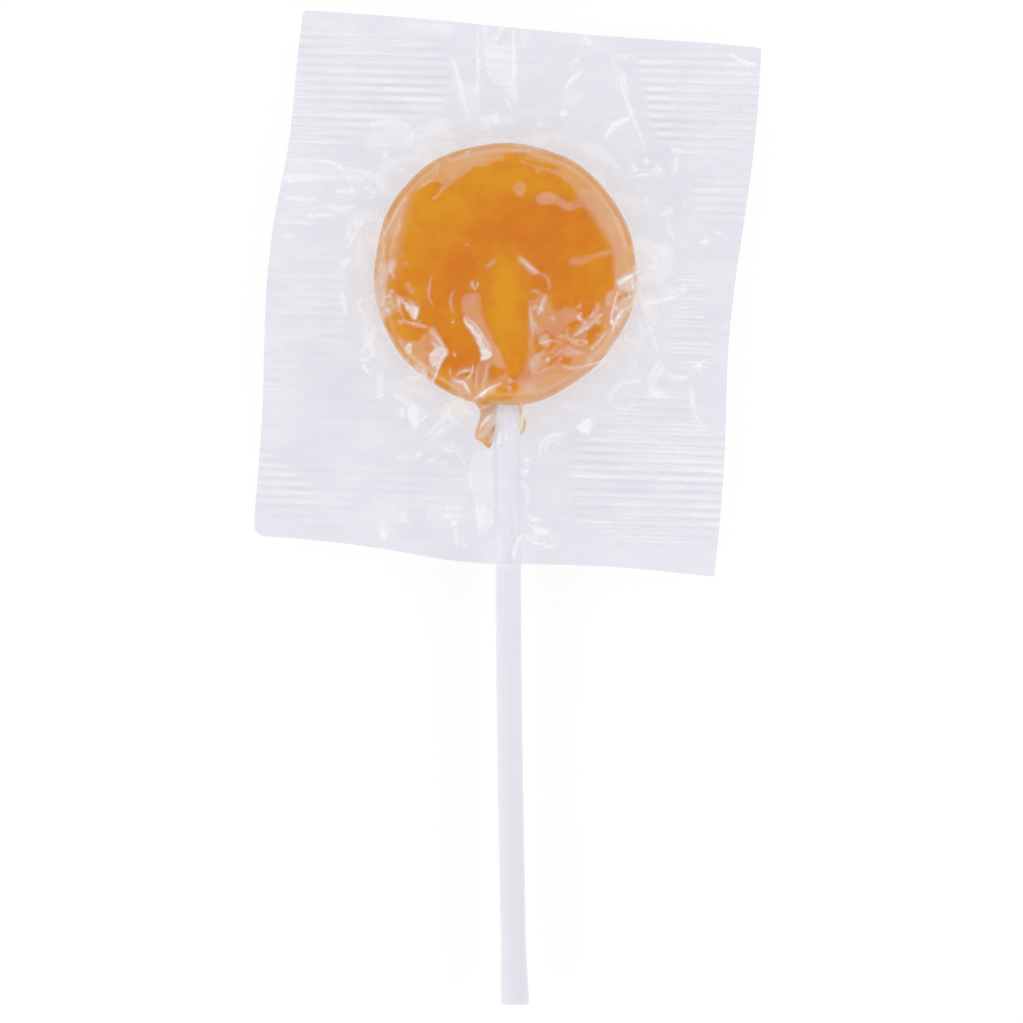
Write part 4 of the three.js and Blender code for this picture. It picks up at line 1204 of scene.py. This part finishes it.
def crowded(count, dense_from, dense_to, extra):
    """Steps from -1 to 1 that stand closer together in one stretch."""
    blend = 0.08
    fine = np.linspace(-1, 1, 2001)
    before = 1 - smoothstep(fine, dense_from - blend, dense_from)
    after = smoothstep(fine, dense_to, dense_to + blend)
    weight = 1 + extra * (1 - before) * (1 - after)
    total = np.concatenate([[0], np.cumsum((weight[1:] + weight[:-1]) / 2)])
    return np.interp(np.linspace(0, total[-1], count), total, fine)


def rib_wave(x, y, pitch):
    """The crimped seal's ribs, from 0 between them to 1 on top."""
    v = y * math.cos(RIB_TURN) - x * math.sin(RIB_TURN)
    return 0.5 + 0.5 * np.cos(2 * math.pi * v / pitch)


def clinging(x, y, soft=0.22):
    """1 where the film clings to the sweet and 0 where it stands off, with a ragged border."""
    ragged_x, ragged_y = ragged(x, y, 0.8, 0.15, 0.12, ((1, 2), (5, 6)))
    result = np.zeros(len(x))
    for outline in CLINGING:
        result = np.maximum(result, inside_patch(ragged_x, ragged_y, outline, soft))
    return result


def sweet_haze_and_painted_light(x, y):
    """How milky the upper sheet is over the sweet, where it stands off or is crinkled: partly haze and partly
    painted reflection and glints.
    """
    bent_x, bent_y = ragged(x, y, 0.9, 0.16, 0.1, ((13, 15), (14, 16)))
    haze_and_painted_light = (1 - clinging(x, y)) * STANDING_HAZE_AND_PAINTED_LIGHT
    for outline, amount, soft in HAZE_AND_PAINTED_LIGHT:
        haze_and_painted_light = np.maximum(haze_and_painted_light, amount * inside_patch(bent_x, bent_y, outline, 1.3 * soft))
    crumpled = 0.15 + soft_noise(x, y, 0.8, 31) + 0.5 * soft_noise(x, y, 0.4, 32)
    for outline, amount in CRINKLED:
        crinkled = amount * inside_patch(bent_x, bent_y, outline, 0.5)
        haze_and_painted_light = np.maximum(haze_and_painted_light, crinkled * smoothstep(crumpled, 0.1, 1.1))
    streaks = soft_noise(x, y, 1.3, 7) * 0.5 + soft_noise(x, y, 0.45, 8) * 0.5
    return haze_and_painted_light * HAZE_AND_PAINTED_LIGHT_SHARE * (1 + 0.3 * streaks)


def sheet_half(x, y, seal, gap, front):
    """How far one sheet stands off the seal: over the sweet, in the slope round it and round the stick."""
    side = 1 if front else -1
    slope = tent_half(x, y, FRONT_PLEATS if front else BACK_PLEATS)
    on_sweet = np.where(past_rim(x, y) < 0, sweet_half(x, y) + gap + side * (MID - seal), 0)
    return soft_max(soft_max(slope, channel_half(x, y), 0.25), on_sweet, 0.3)


def glinting(x, y, folds, size, seed, low, high):
    """1 on the folds' facets that tilt to the light, and 0 on the others."""
    step = 0.35
    tilt = (film_folds(x + step, y - step, size, seed) - folds) / step
    return smoothstep(tilt, low, high)


def shape_film(x, y, settings, front):
    """One sheet of film at each place: its height, how far it stands off the seal and how white it is, with
    painted highlights.
    """
    side = 1 if front else -1
    seed, small_seed = FRONT_SEEDS if front else BACK_SEEDS
    gap = settings.sweet_gap / MM
    past = past_rim(x, y)
    radius = np.hypot(x, y)
    seal = seal_height(x, y)
    half = sheet_half(x, y, seal, gap, front)
    # The crumples are strongest in the slope round the sweet, low over it and faint on the flat seal.
    ring = bell(radius, SLOPE_RADIUS, SLOPE_WIDTH)
    folds = film_folds(x, y, FOLD_SIZE, seed)
    small_folds = film_folds(x, y, SMALL_FOLD_SIZE, small_seed)
    crumples = settings.crumple / MM * ring * (folds + 0.15 * small_folds) * smoothstep(half, 0.02, 0.6)
    crumples = crumples * np.where(past < -1.5, 0.3, 1)
    seal_folds = film_folds(x, y, SEAL_FOLD_SIZE, SEAL_FOLD_SEED)
    crumples = crumples + 0.1 * seal_folds * smoothstep(radius, 19, 24)
    rise, white = film_creases(x, y, front)
    height = seal + side * (half + crumples) + rise * np.where(half > 0.3, side, 1)
    # No fold dips into the sugar, and the upper sheet stands a little higher where it doesn't cling.
    standing = 0.05 * (1 - clinging(x, y, 1.0)) if front else 0
    closest = sweet_half(x, y) + poured_relief(x, y) + gap - 0.03 + standing
    clear_of_sweet = MID + side * np.maximum(side * (height - MID), closest)
    height = np.where(past < -0.5, clear_of_sweet, height)
    # Painted highlights: the folds' facets that tilt to the light are made whiter.
    glint = np.maximum(GLINT * glinting(x, y, folds, FOLD_SIZE, seed, 0.15, 0.7),
                       SMALL_GLINT * glinting(x, y, small_folds, SMALL_FOLD_SIZE, small_seed, 0.3, 1.1))
    return height, half, np.maximum(white, glint * ring * (past > 0))


def rib_shine(nodes, settings):
    """Where the crimped ribs catch the light, as a painted highlight, and where the troughs between them get
    painted shade.
    """
    along = nodes.add("ShaderNodeSeparateXYZ", {0: nodes.turned(RIB_TURN)}).outputs[1]
    wobble = nodes.spread(nodes.noise(9.0, 0.0, (0.25, 1, 1), RIB_TURN), 0, 1, -0.8, 0.8)
    turns = nodes.total(nodes.math("MULTIPLY", along, 2 * math.pi / settings.rib_pitch), wobble)
    wave = nodes.math("COSINE", turns)
    double_wave = nodes.math("COSINE", nodes.total(nodes.math("MULTIPLY", turns, 2.0), 0.9))
    coarse = nodes.spread(wave, -0.5, 0.9)
    fine = nodes.spread(double_wave, -0.3, 1.0, 0, 0.8)
    crest = nodes.mix(nodes.spread(nodes.noise(14.0, 1.0), 0.42, 0.58), coarse, fine)
    dashes = nodes.spread(nodes.noise(1.5, 0.0, (0.12, 1, 1), RIB_TURN), 0.3, 0.68, 0.25, 1.05)
    ribs = nodes.value("ribs")
    lines = nodes.math("MULTIPLY", nodes.math("MULTIPLY", crest, dashes), ribs)
    # Painted shade in the troughs between the ribs.
    troughs = nodes.math("MULTIPLY", nodes.spread(wave, -0.4, -1.0), ribs)
    return lines, troughs


def film_material(name, tint, settings):
    """Thin clear film: see-through, greyish off the sweet, milky where it is stretched and painted white for
    its highlights and reflections, with crimped ribs.
    """
    material, nodes = new_material(name)
    lines, troughs = rib_shine(nodes, settings)
    off_sweet = nodes.value("open")
    streaks = nodes.spread(nodes.noise(2.0, 1.0, (0.35, 1, 1), RIB_TURN), 0.4, 0.7, 0.0, 0.12)
    clouds = nodes.spread(nodes.noise(7.0, 1.0), 0.4, 0.65, 0.0, 0.08)
    # The milk holds the film's haze and its painted highlights and reflections.
    milk = nodes.total(
        nodes.value("white"),
        nodes.value("haze_and_painted_light"),
        nodes.math("MULTIPLY", lines, settings.rib_white),
        nodes.math("MULTIPLY", nodes.total(streaks, clouds), off_sweet),
        clamp=True,
    )
    # Painted shade: the film lets less through in the ribs' troughs.
    see_through = nodes.times(tint, nodes.spread(troughs, 0, 1, 1.0, 0.93))
    clear = nodes.shader("ShaderNodeBsdfTransparent", Color=see_through)
    lit = nodes.shader("ShaderNodeBsdfDiffuse", Color=(*settings.milk, 1))
    glowing = nodes.shader("ShaderNodeBsdfTranslucent", Color=(*settings.milk, 1))
    cloudy = nodes.mix_shaders(nodes.spread(off_sweet, 0, 1, 0.12, 0.45), lit, glowing)
    body = nodes.mix_shaders(milk, clear, cloudy)
    gloss = nodes.shader("ShaderNodeBsdfGlossy", Color=(1, 1, 1, 1), Roughness=settings.gloss_roughness)
    facing = nodes.add("ShaderNodeLayerWeight", {"Blend": 0.5}).outputs["Facing"]
    mirror = nodes.spread(nodes.math("POWER", facing, 5.0), 0, 1, settings.mirror, 0.35)
    nodes.surface(nodes.mix_shaders(mirror, body, gloss))
    return material


def grid_faces(columns, rows, upward):
    faces = []
    for row in range(rows - 1):
        for column in range(columns - 1):
            a = row * columns + column
            quad = (a, a + 1, a + 1 + columns, a + columns)
            faces.append(quad if upward else quad[::-1])
    return faces


def flat_map(mesh, across, up):
    """The sheet laid flat, as the map that its finish is baked on."""
    corners = np.zeros(len(mesh.loops), int)
    mesh.loops.foreach_get("vertex_index", corners)
    layer = mesh.uv_layers.new(name="OFBake")
    places = np.column_stack([across[corners] + 1, up[corners] + 1]) / 2
    layer.data.foreach_set("uv", (0.002 + 0.996 * places).ravel())


def colour_film(mesh, x, y, white, ribbed, front):
    """Tells the material where the sheet is white, milky, ribbed and off the sweet, with its painted
    highlights and reflections.
    """
    past = past_rim(x, y)
    on_sweet = smoothstep(-past, -0.15, 0.15)
    # Painted glow: the film just outside the sweet's rim is made milky.
    near_rim = (1 - on_sweet) * bell(np.clip(past, 0, None), 0, 3.2)
    if front:
        haze_and_painted_light = sweet_haze_and_painted_light(x, y) * on_sweet + RIM_PAINTED_GLOW * near_rim
        white = white * lerp(1.3, 0.8, on_sweet)
    else:
        haze_and_painted_light = BACK_RIM_PAINTED_GLOW * near_rim
        white = white * BACK_WHITE
    patches = np.full(len(x), PLAIN_RIBS)
    for outline, amount in RIB_PATCHES:
        patches = np.maximum(patches, amount * inside_patch(x, y, outline, 0.7))
    set_values(mesh, "white", np.clip(white, 0, 1))
    set_values(mesh, "haze_and_painted_light", np.clip(haze_and_painted_light, 0, 1))
    # Where the ribs get painted highlights, and painted shade in their troughs.
    set_values(mesh, "ribs", patches * ribbed * (1.0 if front else BACK_RIBS))
    set_values(mesh, "open", 1 - on_sweet)


class FilmSettings(bpy.types.PropertyGroup):
    """Sizes and colours of the wrapper's film"""

    sweet_gap: bpy.props.FloatProperty(
        name="Gap", description="How far the film lies above the sweet's solid where it clings",
        default=0.4 * MM, unit="LENGTH", precision=5)
    crumple: bpy.props.FloatProperty(
        name="Crumple", description="Height of the creases in the slope round the sweet",
        default=0.25 * MM, unit="LENGTH", precision=5)
    rib_pitch: bpy.props.FloatProperty(
        name="Rib pitch", description="From one rib of the crimped seal to the next",
        default=1.13 * MM, unit="LENGTH", precision=5)
    rib_height: bpy.props.FloatProperty(
        name="Rib height", description="Height of the ribs",
        default=0.018 * MM, unit="LENGTH", precision=6)
    rib_white: bpy.props.FloatProperty(
        name="Rib white", description="How white the ribs look where they catch the light", default=0.85)
    tint: bpy.props.FloatVectorProperty(
        name="Tint", description="What the upper sheet of film lets through", subtype="COLOR",
        default=(0.967, 0.965, 0.968), min=0, max=1)
    back_tint: bpy.props.FloatVectorProperty(
        name="Back tint", description="What the lower sheet of film lets through", subtype="COLOR",
        default=(0.83, 0.834, 0.903), min=0, max=1)
    # The colour of the milky film and of its painted highlights.
    milk: bpy.props.FloatVectorProperty(
        name="Milk", description="The film where it is stretched white", subtype="COLOR",
        default=(0.95, 0.955, 0.965), min=0, max=1)
    mirror: bpy.props.FloatProperty(
        name="Mirror", description="Share of light that the film reflects straight on",
        default=0.026, min=0, max=1)
    gloss_roughness: bpy.props.FloatProperty(
        name="Gloss", description="Roughness of the film's shine", default=0.12, min=0, max=1)


class LOLLIPOP_OT_film(bpy.types.Operator):
    """Make the two sheets of clear film, sealed together round the sweet"""

    bl_idname = "lollipop.film"
    bl_label = "Film wrapper"

    def execute(self, context):
        settings = context.scene.lollipop_film
        upper = film_material("clear_film_upper", settings.tint, settings)
        lower = film_material("clear_film_lower", settings.back_tint, settings)
        self.sheet("film_front", settings, upper, True, *FRONT_GRID)
        self.sheet("film_back", settings, lower, False, *BACK_GRID)
        return {"FINISHED"}

    def sheet(self, name, settings, material, front, columns, rows):
        """One of the two sheets, as a grid of points laid out inside its cut edges."""
        steps_across = crowded(columns, *CROWDED_ACROSS)
        steps_up = crowded(rows, *CROWDED_UP)
        across, up = (grid.ravel() for grid in np.meshgrid(steps_across, steps_up))
        x, y = sheet_places(across, up)
        height, half, white = shape_film(x, y, settings, front)
        ribbed = (1 - smoothstep(half, 0.0, 0.25)) * smoothstep(np.hypot(x, y), RIBS_START, RIBS_FULL)
        height = height + settings.rib_height / MM * ribbed * rib_wave(x, y, settings.rib_pitch / MM)
        height = height + (FRONT_LIFT if front else BACK_LIFT)
        points = np.column_stack([x, y, np.clip(height, FILM_LOWEST, FILM_HIGHEST)])
        faces = grid_faces(columns, rows, front)
        piece = add_mesh(name, points, faces, material, "wrapper")
        flat_map(piece.data, across, up)
        colour_film(piece.data, x, y, white, ribbed, front)


# ---- Stage, in metres ----
FLOOR_HALF = 1.5
KEY_PLACE = (-0.32, -0.36, 0.34)
KEY_WIDTH = 0.2
FILL_PLACE = (0.46, 0.12, 0.32)
FILL_WIDTH = 0.22
LIGHT_AIM = (0, -0.01, 0)
SENSOR_WIDTH = 36  # millimetres
SKY_STOPS = ((0.0, 0.5), (0.28, 0.6), (0.37, 2.3), (0.5, 2.3), (0.68, 0.42))  # height, brightness


class StageSettings(bpy.types.PropertyGroup):
    """Light, floor and camera"""

    sky: bpy.props.FloatProperty(
        name="Sky", description="Brightness of the soft light all round", default=1.18)
    key: bpy.props.FloatProperty(
        name="Key light", description="Power of the soft light at the lower left",
        default=0.14, unit="POWER")
    fill: bpy.props.FloatProperty(
        name="Fill light", description="Power of the soft light at the right",
        default=0.14, unit="POWER")
    distance: bpy.props.FloatProperty(
        name="Camera height", description="Height of the camera above the lollipop",
        default=1.2, unit="LENGTH")
    look_x: bpy.props.FloatProperty(
        name="Look X", description="Where the camera looks, across",
        default=0.88 * MM, unit="LENGTH", precision=5)
    look_y: bpy.props.FloatProperty(
        name="Look Y", description="Where the camera looks, along",
        default=-29.75 * MM, unit="LENGTH", precision=5)
    field: bpy.props.FloatProperty(
        name="Field", description="Width that the camera sees",
        default=127.9 * MM, unit="LENGTH")


def soft_light(name, place, width, power):
    data = bpy.data.lights.new(name, "AREA")
    data.shape = "DISK"
    data.size = width
    data.energy = power
    light = bpy.data.objects.new(name, data)
    light.location = place
    aim = Vector(LIGHT_AIM) - Vector(place)
    light.rotation_euler = aim.to_track_quat("-Z", "Y").to_euler()
    light.visible_camera = False
    bpy.context.scene.collection.objects.link(light)
    return light


def floor_material():
    """A white sheet that glows a little, so that it shows hardly any shadow."""
    material, nodes = new_material("white_floor")
    nodes.surface(nodes.shader(
        "ShaderNodeBsdfPrincipled",
        Base_Color=nodes.spread(nodes.noise(30.0), 0.3, 0.7, 0.195, 0.2),
        Roughness=0.9,
        Specular_IOR_Level=0.0,
        Emission_Color=(1, 1, 1, 1),
        Emission_Strength=0.8,
    ))
    return material


def sky_nodes(world, strength):
    """Soft light all round: dim straight above, brightest between there and the horizon."""
    world.use_nodes = True
    nodes = Nodes(world.node_tree)
    direction = nodes.add("ShaderNodeTexCoord").outputs["Generated"]
    up = nodes.add("ShaderNodeSeparateXYZ", {0: direction}).outputs[2]
    grey = nodes.ramp(up, [(height, (brightness,) * 3) for height, brightness in SKY_STOPS])
    sky = nodes.shader("ShaderNodeBackground", Color=grey, Strength=strength)
    nodes.add("ShaderNodeOutputWorld", {"Surface": sky})


class LOLLIPOP_OT_stage(bpy.types.Operator):
    """Make the white floor, the soft light and the camera that looks straight down"""

    bl_idname = "lollipop.stage"
    bl_label = "Stage"

    def execute(self, context):
        settings = context.scene.lollipop_stage
        corners = [(FLOOR_HALF * x, FLOOR_HALF * y, 0) for x, y in ((-1, -1), (1, -1), (1, 1), (-1, 1))]
        mesh = bpy.data.meshes.new("floor")
        mesh.from_pydata(corners, [], [(0, 1, 2, 3)])
        mesh.materials.append(floor_material())
        floor = bpy.data.objects.new("floor", mesh)
        context.scene.collection.objects.link(floor)
        key = soft_light("key_light", KEY_PLACE, KEY_WIDTH, settings.key)
        fill = soft_light("fill_light", FILL_PLACE, FILL_WIDTH, settings.fill)
        world = context.scene.world or bpy.data.worlds.new("soft_light")
        context.scene.world = world
        sky_nodes(world, settings.sky)
        data = bpy.data.cameras.new("camera")
        data.sensor_width = SENSOR_WIDTH
        data.lens = SENSOR_WIDTH * settings.distance / settings.field
        data.clip_start = 0.01
        data.clip_end = 10
        camera = bpy.data.objects.new("camera", data)
        camera.location = (settings.look_x, settings.look_y, settings.distance + MID * MM)
        context.scene.collection.objects.link(camera)
        context.scene.camera = camera
        context.scene.view_settings.view_transform = "Standard"
        return {"FINISHED"}


# ---- The panel and registration ----
class LOLLIPOP_PT_panel(bpy.types.Panel):
    """The lollipop's pieces and their settings"""

    bl_label = "Lollipop"
    bl_idname = "LOLLIPOP_PT_panel"
    bl_space_type = "VIEW_3D"
    bl_region_type = "UI"
    bl_category = "Lollipop"

    def draw(self, context):
        for operator, settings in PIECES:
            box = self.layout.box()
            box.operator(operator)
            group = getattr(context.scene, settings)
            for name in group.bl_rna.properties.keys():
                if name not in ("rna_type", "name"):
                    box.prop(group, name)


PIECES = (
    ("lollipop.sweet", "lollipop_sweet"),
    ("lollipop.stick", "lollipop_stick"),
    ("lollipop.film", "lollipop_film"),
    ("lollipop.stage", "lollipop_stage"),
)
SETTINGS = {
    "lollipop_sweet": SweetSettings,
    "lollipop_stick": StickSettings,
    "lollipop_film": FilmSettings,
    "lollipop_stage": StageSettings,
}
CLASSES = (
    *SETTINGS.values(),
    LOLLIPOP_OT_sweet,
    LOLLIPOP_OT_stick,
    LOLLIPOP_OT_film,
    LOLLIPOP_OT_stage,
    LOLLIPOP_PT_panel,
)


def register():
    for cls in CLASSES:
        bpy.utils.register_class(cls)
    for name, settings in SETTINGS.items():
        setattr(bpy.types.Scene, name, bpy.props.PointerProperty(type=settings))


def unregister():
    for name in SETTINGS:
        delattr(bpy.types.Scene, name)
    for cls in reversed(CLASSES):
        bpy.utils.unregister_class(cls)


def main():
    register()
    bpy.ops.lollipop.sweet()
    bpy.ops.lollipop.stick()
    bpy.ops.lollipop.film()
    bpy.ops.lollipop.stage()


if __name__ == "__main__":
    main()
